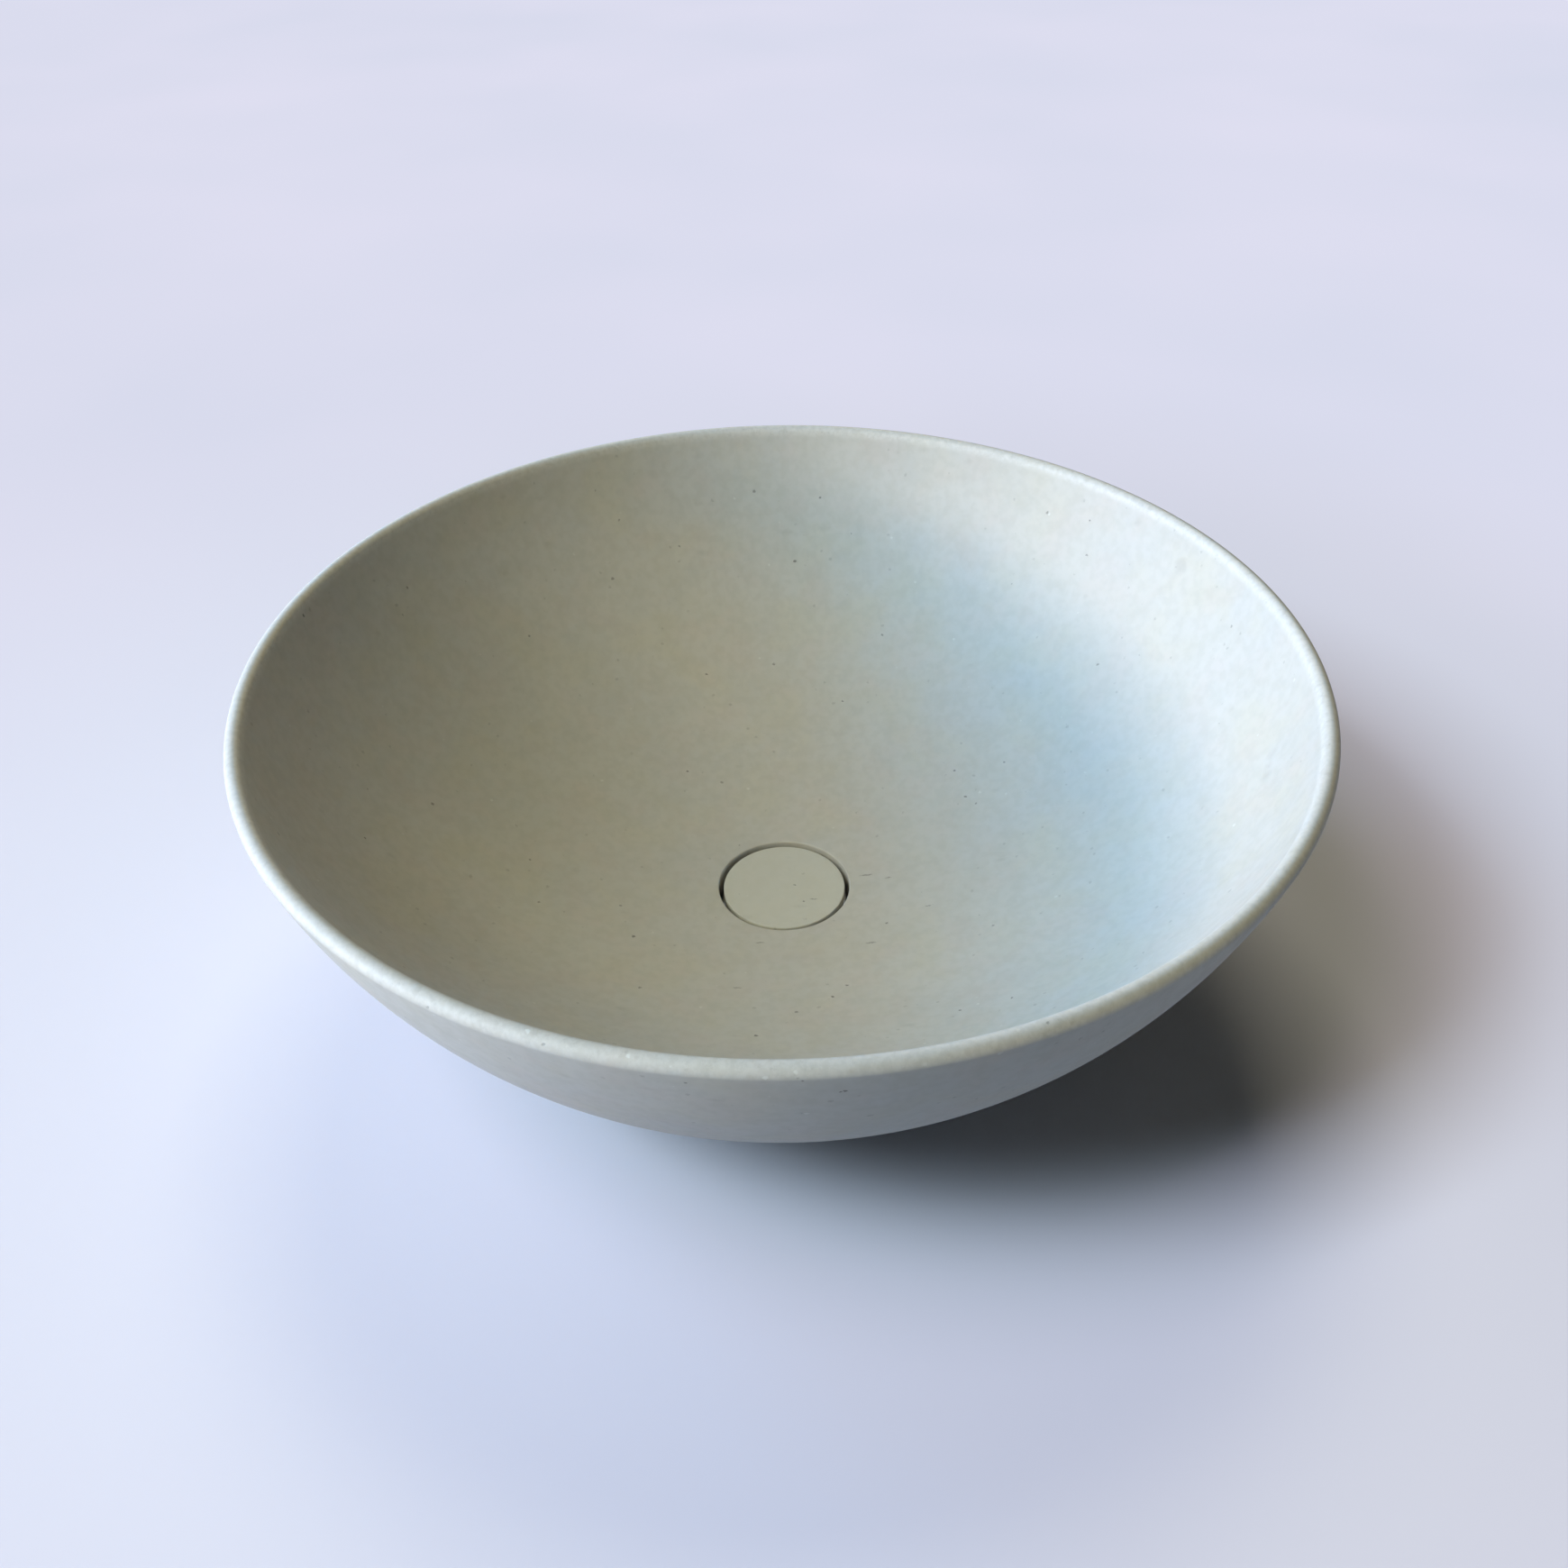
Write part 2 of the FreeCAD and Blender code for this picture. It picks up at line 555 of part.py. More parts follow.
def make_plunger():
    """Plunger: pilot, collar, stem and the thread that the carrier screws on."""
    plunger = new_body("plunger", "Levels.collar_z - Levels.pilot_length")
    return turn(plunger, (
        ("0", "0"),
        ("Sizes.pilot_radius", "0"),
        ("Sizes.pilot_radius", "Levels.pilot_length"),
        ("Levels.collar_radius", "Levels.pilot_length"),
        ("Levels.collar_radius", "Levels.collar_top"),
        ("Sizes.stem_radius", "Levels.collar_top"),
        ("Sizes.stem_radius", "Levels.stem_step"),
        ("Sizes.stem_thread_radius", "Levels.stem_step"),
        ("Sizes.stem_thread_radius", "Levels.stem_length"),
        ("0", "Levels.stem_length"),
    ))


def make_latch_rotor():
    """Latch rotor: a ring whose upper face is cut into teeth."""
    rotor = new_body("latch_rotor", "Levels.rotor_z")
    turn(rotor, (
        ("Levels.rotor_bore", "0"),
        ("Levels.collar_radius", "0"),
        ("Levels.collar_radius", "Sizes.rotor_height"),
        ("Levels.rotor_bore", "Sizes.rotor_height"),
    ))
    before = rotor.Shape.Volume
    sketch = new_sketch(rotor, "tooth_gap", "XY_Plane", "Levels.tooth_floor")
    far = "Levels.collar_radius + Sizes.inside_clearance"
    outline(sketch, (
        ("Levels.tooth_inner", "-Sizes.tooth_width / 2"),
        (far, "-Sizes.tooth_width / 2"),
        (far, "Sizes.tooth_width / 2"),
        ("Levels.tooth_inner", "Sizes.tooth_width / 2"),
    ))
    gap = feature(rotor, "Pocket", "gap", sketch)
    gap.setExpression("Length", "Sizes.rotor_height")
    gap.Reversed = True
    doc.recompute()
    assert rotor.Shape.Volume < before, "the rotor has no teeth"
    around(rotor, "teeth", gap, "Sizes.tooth_count")
    return rotor


def half_arcs(start, leaving, end, arriving):
    """Two arcs that leave start and reach end along the given directions."""
    span = end - start
    both = leaving + arriving
    bend = 2 * (1 - leaving.dot(arriving))
    lean = span.dot(both)
    reach = (math.sqrt(lean ** 2 + bend * span.dot(span)) - lean) / bend
    joint = (start + end + (leaving - arriving) * reach) * 0.5
    arcs = []
    for first, way, last in ((start, leaving, joint), (end, -arriving, joint)):
        chord = last - first
        normal = way.cross(chord).normalize()
        inward = normal.cross(way).normalize()
        radius = chord.dot(chord) / (2 * inward.dot(chord))
        centre = first + inward * radius
        middle = centre + ((first - centre) + (last - centre)).normalize() * radius
        arcs.append(Part.Arc(first, middle, last).toShape())
    return arcs


def make_latch_spring():
    """Compression spring: one round wire on a rising turn, drawn shut."""
    quarters = 4 * int(value("Sizes.spring_turns"))
    radius = value("Sizes.spring_radius")
    rise = value("Levels.coil_height")
    wire_radius = value("Sizes.wire_thickness") / 2
    points = []
    ways = []
    for step in range(quarters + 1):
        angle = step * math.pi / 2
        points.append(V(radius * math.cos(angle), radius * math.sin(angle), rise * step / quarters))
        climb = rise / (quarters * math.pi / 2)
        ways.append(V(-radius * math.sin(angle), radius * math.cos(angle), climb).normalize())
    arcs = []
    for step in range(quarters):
        arcs += half_arcs(points[step], ways[step], points[step + 1], ways[step + 1])
    path = Part.Wire(arcs)
    section = Part.Wire([Part.Circle(points[0], ways[0], wire_radius).toShape()])
    spring = doc.addObject("Part::Feature", "latch_spring")
    spring.Label = "latch_spring"
    spring.Shape = path.makePipeShell([section], True, False)
    spring.setExpression("Placement.Base.z", "Levels.spring_z + Sizes.wire_thickness / 2")
    pitch = rise / value("Sizes.spring_turns")
    print("spring: clear between turns %.2f mm" % (pitch - 2 * wire_radius))
    return spring


thrust_washer = ring("thrust_washer", "Levels.thrust_z", "Levels.rotor_bore", "Sizes.thrust_radius",
                     "Sizes.thrust_thickness")
cover_seal = ring("cover_seal", "Levels.seal_z", "Levels.seal_bore", "Sizes.seal_radius",
                  "Sizes.seal_thickness")
flange_gasket = ring("flange_gasket", "Levels.gasket_z", "Levels.screwed_radius",
                     "Levels.gasket_radius", "Sizes.gasket_thickness")
bowl_washer = ring("bowl_washer", "Levels.washer_z", "Levels.screwed_radius", "Sizes.washer_radius",
                   "Sizes.washer_thickness")
slip_ring = ring("slip_ring", "Levels.slip_z", "Levels.screwed_radius", "Sizes.washer_radius",
                 "Sizes.slip_thickness")
back_nut = hex_nut("back_nut", "Levels.nut_z", "Sizes.nut_flats", "Sizes.nut_height",
                   "Levels.screwed_radius", "Sizes.nut_chamfer")
lock_nut = hex_nut("lock_nut", "Levels.lock_z", "Sizes.lock_flats", "Sizes.lock_height",
                   "Levels.lock_bore", "Sizes.lock_chamfer")

pieces = [
    make_bowl(),
    make_cover_disc(),
    make_cover_bond(),
    make_cover_carrier(),
    cover_seal,
    lock_nut,
    make_plunger(),
    thrust_washer,
    make_latch_rotor(),
    make_latch_spring(),
    make_cartridge_sleeve(),
    make_stem_bush(),
    make_stem_ring(),
    make_cartridge_base(),
    make_waste_body(),
    flange_gasket,
    bowl_washer,
    slip_ring,
    back_nut,
]

doc.recompute()
for item in doc.Objects:
    if "Invalid" in item.State or "Error" in item.State:
        raise RuntimeError(item.Name + " failed")
os.makedirs("parts", exist_ok=True)
for piece in pieces:
    shape = piece.Shape
    if shape.isNull() or not shape.isValid() or len(shape.Solids) != 1:
        raise RuntimeError(piece.Label + " is not one valid solid")
for piece in pieces:
    piece.Shape.exportStep("parts/%s.step" % piece.Label)
    box = piece.Shape.BoundBox
    print("%-17s z %7.2f to %7.2f  reach %6.2f  volume %10.1f" % (
        piece.Label, box.ZMin, box.ZMax, box.XMax, piece.Shape.Volume))
for name in ("outer_curve", "floor_curve", "wall_curve", "knee_x", "edge_z", "tube_z", "nut_z"):
    print("%s %.3f" % (name, value("Levels." + name)))
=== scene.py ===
import cmath
import json
import math

import bmesh
import bpy
from mathutils import Matrix, Vector


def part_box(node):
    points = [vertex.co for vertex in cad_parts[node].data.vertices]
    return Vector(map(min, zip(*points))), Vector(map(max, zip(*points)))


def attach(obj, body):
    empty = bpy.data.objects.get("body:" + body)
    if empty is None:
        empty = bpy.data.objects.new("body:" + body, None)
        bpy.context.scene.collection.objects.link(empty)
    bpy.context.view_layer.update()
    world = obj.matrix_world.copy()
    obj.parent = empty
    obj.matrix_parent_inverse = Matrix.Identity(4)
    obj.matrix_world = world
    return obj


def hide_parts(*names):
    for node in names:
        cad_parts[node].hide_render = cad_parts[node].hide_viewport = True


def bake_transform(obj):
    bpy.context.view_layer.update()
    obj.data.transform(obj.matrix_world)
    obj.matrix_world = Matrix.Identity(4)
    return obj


# Round countertop washbasin with its drain cover and push-open waste.
# Metres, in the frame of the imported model, apart from tables that say millimetres.

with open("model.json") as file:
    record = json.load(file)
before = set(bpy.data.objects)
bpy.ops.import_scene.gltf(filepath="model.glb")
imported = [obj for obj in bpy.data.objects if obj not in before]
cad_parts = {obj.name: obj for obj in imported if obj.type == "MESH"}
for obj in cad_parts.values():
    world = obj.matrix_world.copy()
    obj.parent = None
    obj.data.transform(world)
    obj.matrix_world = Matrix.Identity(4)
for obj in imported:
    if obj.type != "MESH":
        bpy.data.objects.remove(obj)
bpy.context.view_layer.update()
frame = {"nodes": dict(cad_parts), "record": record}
nodes = frame["nodes"]
MM = 0.001
TURN = 2 * math.pi
QUARTER = math.pi / 2
SIXTH = TURN / 6

# Photograph: camera fitted to the rim, the recess and the lower outline of the wall
PHOTO_PIXELS = 1740
FOCAL_PIXELS = 1700
SENSOR_WIDTH = 36.0
RIM_PLANE = 153.5 * MM
CAMERA_DISTANCE = 599.5 * MM
CAMERA_ELEVATION = math.radians(33.78)
CAMERA_DOWN = math.radians(38.37)
CAMERA_YAW = math.radians(0.06)
CAMERA_ROLL = math.radians(0.8)

# Lamps stand this far from the bowl's middle, and the floor reaches this far to each side
LAMP_DISTANCE = 4.0
FLOOR_REACH = 6.0

# Bowl
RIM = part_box("bowl")[1].x
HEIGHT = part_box("bowl")[1].z
LIP = 6.7 / 2 * MM
OUTER_SLOPE = math.radians(74.3)
INNER_SLOPE = math.radians(70)
FLOOR_SLOPE = math.radians(21)
FLOOR = 35 * MM
FOOT = 72 * MM
FOOT_HEIGHT = 3.9 * MM
FOOT_ROUNDING = 1.2 * MM
HOLLOW = 50 * MM
HOLLOW_ROUNDING = 4 * MM
RECESS = 28.5 * MM
RECESS_ROUNDING = 0.7 * MM
OUTLET = 22.455 * MM
ARRIS = 0.4 * MM
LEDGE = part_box("flange_gasket")[0].z
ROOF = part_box("bowl_washer")[1].z

# Waste and its threads
PIPE_THREAD = 20.955 * MM
PIPE_PITCH = 2.309 * MM
PIPE_DEPTH = 1.1 * MM
PIPE_BORE = 18 * MM
RELIEF = 0.4 * MM
RELIEF_WIDTH = 0.8 * MM
HUB_BORE = 4.05 * MM
HUB_RADIUS = 6.5 * MM
HUB_HEIGHT = 3 * MM
SCREW_PITCH = 1 * MM
SCREW_DEPTH = 0.5 * MM

# Threads: shares of half a pitch where a groove starts and is full, how near a point has to be to the
# thread's radius to be cut, and how near a section's points have to be to it to be finely divided
CREST = 0.06
ROOT = 0.94
ON_THREAD = 0.05 * MM
SAME_RADIUS = 0.01 * MM

# Spring: radius of its wire, turns, and steps in a turn
SPRING_WIRE = 0.35 * MM
SPRING_TURNS = 3
TURN_STEPS = 48

# Turned pieces: radius of the circle that a section is swept around, sharpest edge that is smooth,
# steps in a rounded corner, rounding between a nut's flats, slope of its bevel, distance that welds
SPINE = 1 * MM
SMOOTH_ANGLE = math.radians(32)
CORNER_STEPS = 4
CORNER = 0.3 * MM
BEVEL_SLOPE = math.radians(30)
WELD = 1e-6


class Wire:
    """A socket that takes part in sums."""

    def __init__(self, tree, socket):
        self.tree = tree
        self.socket = socket

    def maths(self, operation, *others):
        return self.tree.node("ShaderNodeMath", {"operation": operation}, self, *others)

    def __add__(self, other):
        return self.maths("ADD", other)

    def __sub__(self, other):
        return self.maths("SUBTRACT", other)

    def __mul__(self, other):
        return self.maths("MULTIPLY", other)

    def __truediv__(self, other):
        return self.maths("DIVIDE", other)

    def __lt__(self, other):
        return self.maths("LESS_THAN", other)

    def __pow__(self, other):
        return self.maths("POWER", other)


class Tree:
    """A node tree with one way to add any node."""

    def __init__(self, tree):
        self.tree = tree
        tree.nodes.clear()

    def plug(self, socket, given):
        if isinstance(given, Wire):
            self.tree.links.new(given.socket, socket)
        else:
            socket.default_value = given

    def node(self, kind, settings=None, *given, out=0, **named):
        made = self.tree.nodes.new(kind)
        for key, setting in (settings or {}).items():
            setattr(made, key, setting)
        enabled = [socket for socket in made.inputs if socket.enabled]
        for socket, one in zip(enabled, given):
            self.plug(socket, one)
        for key, one in named.items():
            wanted = key.replace("_", " ")
            socket = [socket for socket in enabled if socket.name == wanted][0]
            self.plug(socket, one)
        outputs = [socket for socket in made.outputs if socket.enabled]
        if not outputs:
            return made
        if isinstance(out, str):
            return Wire(self, [socket for socket in outputs if socket.name == out][0])
        return Wire(self, outputs[out])

    def parts(self, vector):
        """The three numbers of a vector."""
        return [self.node("ShaderNodeSeparateXYZ", {}, vector, out=axis) for axis in "XYZ"]

    def between(self, value, low, high, start=0.0, end=1.0):
        """A value's share of a range, smoothly."""
        settings = {"interpolation_type": "SMOOTHSTEP"}
        return self.node("ShaderNodeMapRange", settings, value, low, high, start, end)


class Shape(Tree):
    """A Geometry Nodes tree with named inputs, applied to one piece after another."""

    KINDS = {"Section": "NodeSocketObject", "Material": "NodeSocketMaterial",
             "Steps": "NodeSocketInt", "Count": "NodeSocketInt"}

    def __init__(self, name, labels):
        super().__init__(bpy.data.node_groups.new(name, "GeometryNodeTree"))
        face = self.tree.interface
        face.new_socket(name="Geometry", in_out="OUTPUT", socket_type="NodeSocketGeometry")
        self.keys = {}
        for label in labels:
            kind = self.KINDS.get(label, "NodeSocketFloat")
            self.keys[label] = face.new_socket(name=label, in_out="INPUT", socket_type=kind).identifier
        self.given = self.tree.nodes.new("NodeGroupInput")

    def __getitem__(self, label):
        return Wire(self, self.given.outputs[label])

    def end(self, geometry):
        real = self.node("GeometryNodeRealizeInstances", {}, geometry)
        dressed = self.node("GeometryNodeSetMaterial", {}, real, Material=self["Material"])
        self.node("NodeGroupOutput", {}, dressed)

    def make(self, name, **settings):
        """The finished mesh, welded, with its faces outwards."""
        holder = bpy.data.objects.new(name, bpy.data.meshes.new(name))
        bpy.context.scene.collection.objects.link(holder)
        modifier = holder.modifiers.new(name, "NODES")
        modifier.node_group = self.tree
        for label, setting in settings.items():
            modifier[self.keys[label.replace("_", " ")]] = setting
        graph = bpy.context.evaluated_depsgraph_get()
        made = bpy.data.meshes.new_from_object(holder.evaluated_get(graph), depsgraph=graph)
        holder.modifiers.clear()
        spare = holder.data
        holder.data = made
        bpy.data.meshes.remove(spare)
        made.name = name
        weld(made)
        return holder


def weld(mesh):
    """Seam and poles closed, faces outwards, smooth up to an angle."""
    work = bmesh.new()
    work.from_mesh(mesh)
    bmesh.ops.remove_doubles(work, verts=work.verts, dist=WELD)
    bmesh.ops.recalc_face_normals(work, faces=work.faces)
    if work.calc_volume(signed=True) < 0:
        bmesh.ops.reverse_faces(work, faces=work.faces)
    work.to_mesh(mesh)
    work.free()
    mesh.shade_smooth()
    mesh.set_sharp_from_angle(angle=SMOOTH_ANGLE)


def turned_tree():
    """Sweeps a half section around the axis, then cuts flats and a thread and unsettles the surface."""
    labels = ("Section", "Steps", "Flats", "Thread radius", "Thread pitch", "Thread depth", "Thread low",
              "Thread high", "Unevenness", "Swell", "Material")
    tree = Shape("turned", labels)
    around = tree.node("GeometryNodeCurvePrimitiveCircle", {}, Resolution=tree["Steps"], Radius=SPINE)
    section = tree.node("GeometryNodeObjectInfo", {}, tree["Section"], out="Geometry")
    body = tree.node("GeometryNodeCurveToMesh", {}, around, section)
    place = tree.node("GeometryNodeInputPosition")
    x, y, z = tree.parts(place)
    radius = ((x * x + y * y) ** 0.5).maths("MAXIMUM", WELD)
    angle = y.maths("ARCTAN2", x)
    from_flat = angle.maths("WRAP", SIXTH, 0.0) - SIXTH / 2
    hexagon = tree["Flats"] / 2 / from_flat.maths("COSINE")
    kept = (hexagon.maths("SMOOTH_MIN", radius, CORNER) / radius).maths("MINIMUM", 1.0)
    phase = (z / tree["Thread pitch"] - angle / TURN).maths("FRACT")
    groove = tree.between((phase * 2 - 1).maths("ABSOLUTE"), CREST, ROOT)
    start = tree.between(z, tree["Thread low"], tree["Thread low"] + tree["Thread pitch"])
    stop = tree.between(z, tree["Thread high"] - tree["Thread pitch"], tree["Thread high"], 1.0, 0.0)
    on_thread = (radius - tree["Thread radius"]).maths("ABSOLUTE") < ON_THREAD
    kept = kept - groove * start * stop * on_thread * tree["Thread depth"] / radius
    cut = tree.node("ShaderNodeCombineXYZ", {}, x * kept, y * kept, z)
    body = tree.node("GeometryNodeSetPosition", {}, body, Position=cut)
    noise = tree.node("ShaderNodeTexNoise", {}, Vector=place, Scale=tree["Swell"], Detail=1.5,
                      Roughness=0.5)
    normal = tree.node("GeometryNodeInputNormal")
    depth = (noise - 1) * tree["Unevenness"]
    sink = tree.node("ShaderNodeVectorMath", {"operation": "SCALE"}, normal, Scale=depth)
    tree.end(tree.node("GeometryNodeSetPosition", {}, body, Offset=sink))
    return tree


def arms_tree():
    """Rounded bars that stand around the axis like spokes."""
    tree = Shape("arms", ("Count", "Width", "Height", "Rounding", "Inner", "Outer", "Level", "Material"))
    square = tree.node("GeometryNodeCurvePrimitiveQuadrilateral", {}, Width=tree["Width"],
                       Height=tree["Height"])
    bar = tree.node("GeometryNodeFilletCurve", {"mode": "POLY"}, square, Count=CORNER_STEPS,
                    Radius=tree["Rounding"])
    inner = tree.node("ShaderNodeCombineXYZ", {}, tree["Inner"], 0.0, tree["Level"])
    outer = tree.node("ShaderNodeCombineXYZ", {}, tree["Outer"], 0.0, tree["Level"])
    line = tree.node("GeometryNodeCurvePrimitiveLine", {}, inner, outer)
    spoke = tree.node("GeometryNodeCurveToMesh", {}, line, bar, Fill_Caps=True)
    spots = tree.node("GeometryNodePoints", {}, tree["Count"])
    turn = tree.node("GeometryNodeInputIndex") * TURN / tree["Count"]
    turned_by = tree.node("ShaderNodeCombineXYZ", {}, 0.0, 0.0, turn)
    tree.end(tree.node("GeometryNodeInstanceOnPoints", {}, spots, Instance=spoke, Rotation=turned_by))
    return tree


def arc(centre, radius, start, end, count):
    """Points on an arc of a section, angles in radians from the outward direction."""
    points = []
    for index in range(count + 1):
        angle = start + (end - start) * index / count
        points.append((centre[0] + radius * math.cos(angle), centre[1] + radius * math.sin(angle)))
    return points


def run(start, end, count):
    """Points on a straight stretch of a section, without its first."""
    points = []
    for index in range(1, count + 1):
        share = index / count
        points.append((start[0] + (end[0] - start[0]) * share, start[1] + (end[1] - start[1]) * share))
    return points


def lathe(corners, spacing=2 * MM, fine_radius=-1.0, fine=2 * MM):
    """Section points from corners of (radius, height, rounding), finely divided at one radius."""
    points = []
    for index, (radius, height, rounding) in enumerate(corners):
        corner = complex(radius, height)
        if rounding == 0:
            points.append(corner)
            continue
        before = complex(*corners[index - 1][:2])
        after = complex(*corners[(index + 1) % len(corners)][:2])
        arriving = (corner - before) / abs(corner - before)
        leaving = (after - corner) / abs(after - corner)
        bend = cmath.phase(leaving / arriving)
        start = corner - arriving * rounding * math.tan(abs(bend) / 2)
        centre = start + arriving * 1j * rounding * math.copysign(1, bend)
        for step in range(CORNER_STEPS + 1):
            points.append(centre + (start - centre) * cmath.exp(1j * bend * step / CORNER_STEPS))
    section = []
    on_axis = points[0].real == 0
    for point, after in zip(points, points[1:] + ([] if on_axis else points[:1])):
        off_thread = max(abs(point.real - fine_radius), abs(after.real - fine_radius))
        longest = fine if off_thread < SAME_RADIUS else spacing
        parts = max(1, math.ceil(abs(after - point) / longest))
        for step in range(parts):
            between = point + (after - point) * step / parts
            section.append((between.real, between.imag))
    if on_axis:
        section.append((points[-1].real, points[-1].imag))
    return section


def turned(name, section, material, Steps=144, **settings):
    """A piece turned from a half section of (radius, height) points, a closed one off the axis."""
    curve = bpy.data.curves.new("section", "CURVE")
    curve.dimensions = "3D"
    spline = curve.splines.new("POLY")
    spline.points.add(len(section) - 1)
    for point, (radius, height) in zip(spline.points, reversed(section)):
        point.co = (radius - SPINE, -height, 0, 1)
    spline.use_cyclic_u = section[0][0] > 0
    pattern = bpy.data.objects.new("section", curve)
    bpy.context.scene.collection.objects.link(pattern)
    for label, usual in (("Flats", 1.0), ("Thread_pitch", 1 * MM), ("Swell", 30.0)):
        settings.setdefault(label, usual)
    piece = TURNED.make(name, Section=pattern, Steps=Steps, Material=material, **settings)
    bpy.data.objects.remove(pattern)
    bpy.data.curves.remove(curve)
    return piece


def coil(name, low, high, material):
    """A spring of round wire that fills a box from its lower to its upper corner."""
    curve = bpy.data.curves.new(name, "CURVE")
    curve.dimensions = "3D"
    curve.bevel_depth = SPRING_WIRE
    curve.use_fill_caps = True
    spline = curve.splines.new("POLY")
    steps = SPRING_TURNS * TURN_STEPS
    spline.points.add(steps)
    radius = high.x - SPRING_WIRE
    rise = high.z - low.z - 2 * SPRING_WIRE
    for index, point in enumerate(spline.points):
        angle = TURN * index / TURN_STEPS
        height = low.z + SPRING_WIRE + rise * index / steps
        point.co = (radius * math.cos(angle), radius * math.sin(angle), height, 1)
    pattern = bpy.data.objects.new(name, curve)
    bpy.context.scene.collection.objects.link(pattern)
    graph = bpy.context.evaluated_depsgraph_get()
    mesh = bpy.data.meshes.new_from_object(pattern.evaluated_get(graph), depsgraph=graph)
    bpy.data.objects.remove(pattern)
    bpy.data.curves.remove(curve)
    weld(mesh)
    mesh.materials.clear()
    mesh.materials.append(material)
    spring = bpy.data.objects.new(name, mesh)
    bpy.context.scene.collection.objects.link(spring)
    return spring


def stand_in(piece, node, body):
    """A finished piece takes a CAD node's place."""
    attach(piece, body)
    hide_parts(node)


def bowl_section():
    """Foot, outer wall, lip, inner wall, floor, recess, outlet and the hollow under the foot."""
    lip = (RIM - LIP, HEIGHT - LIP)
    outer = (lip[0] + LIP * math.sin(OUTER_SLOPE), lip[1] - LIP * math.cos(OUTER_SLOPE))
    inner = (lip[0] - LIP * math.sin(INNER_SLOPE), lip[1] + LIP * math.cos(INNER_SLOPE))
    chord = (outer[0] - FOOT, outer[1] - FOOT_HEIGHT)
    lean = chord[0] * math.sin(OUTER_SLOPE) - chord[1] * math.cos(OUTER_SLOPE)
    outer_curve = (chord[0] ** 2 + chord[1] ** 2) / (2 * lean)
    outer_centre = (outer[0] - outer_curve * math.sin(OUTER_SLOPE),
                    outer[1] + outer_curve * math.cos(OUTER_SLOPE))
    foot_angle = math.atan2(FOOT_HEIGHT - outer_centre[1], FOOT - outer_centre[0])
    rise = math.cos(FLOOR_SLOPE) - math.cos(INNER_SLOPE)
    reach = math.sin(INNER_SLOPE) - math.sin(FLOOR_SLOPE)
    sag = 1 - math.cos(FLOOR_SLOPE)
    share = math.sin(FLOOR_SLOPE) * rise - sag * reach
    floor_curve = (inner[0] * rise - (inner[1] - FLOOR) * reach) / share
    wall_curve = ((inner[1] - FLOOR) * math.sin(FLOOR_SLOPE) - inner[0] * sag) / share
    wall_centre = (inner[0] - wall_curve * math.sin(INNER_SLOPE),
                   inner[1] + wall_curve * math.cos(INNER_SLOPE))
    floor_centre = (0, FLOOR + floor_curve)
    edge_reach = floor_curve + RECESS_ROUNDING
    edge_angle = math.asin((RECESS + RECESS_ROUNDING) / edge_reach)
    edge_centre = (RECESS + RECESS_ROUNDING, floor_centre[1] - edge_reach * math.cos(edge_angle))
    corner = (HOLLOW - HOLLOW_ROUNDING, ROOF - HOLLOW_ROUNDING)
    toe = (FOOT - FOOT_ROUNDING, FOOT_ROUNDING)
    section = arc(toe, FOOT_ROUNDING, -QUARTER, 0, 5)
    section += arc(outer_centre, outer_curve, foot_angle, OUTER_SLOPE - QUARTER, 60)
    section += arc(lip, LIP, OUTER_SLOPE - QUARTER, QUARTER + INNER_SLOPE, 20)[1:]
    section += arc(wall_centre, wall_curve, INNER_SLOPE - QUARTER, FLOOR_SLOPE - QUARTER, 60)[1:]
    section += arc(floor_centre, floor_curve, FLOOR_SLOPE - QUARTER, edge_angle - QUARTER, 36)[1:]
    section += arc(edge_centre, RECESS_ROUNDING, QUARTER + edge_angle, 2 * QUARTER, 5)[1:]
    section += run((RECESS, edge_centre[1]), (RECESS, LEDGE), 5)
    section += run((RECESS, LEDGE), (OUTLET, LEDGE), 3)
    section += run((OUTLET, LEDGE), (OUTLET, ROOF), 3)
    section += run((OUTLET, ROOF), (corner[0], ROOF), 6)
    section += arc(corner, HOLLOW_ROUNDING, QUARTER, 0, 7)[1:]
    section += run((HOLLOW, corner[1]), (HOLLOW, ARRIS), 3)
    section += run((HOLLOW, ARRIS), (HOLLOW + ARRIS, 0), 1)
    section += run((HOLLOW + ARRIS, 0), (toe[0], 0), 5)[:-1]
    return section


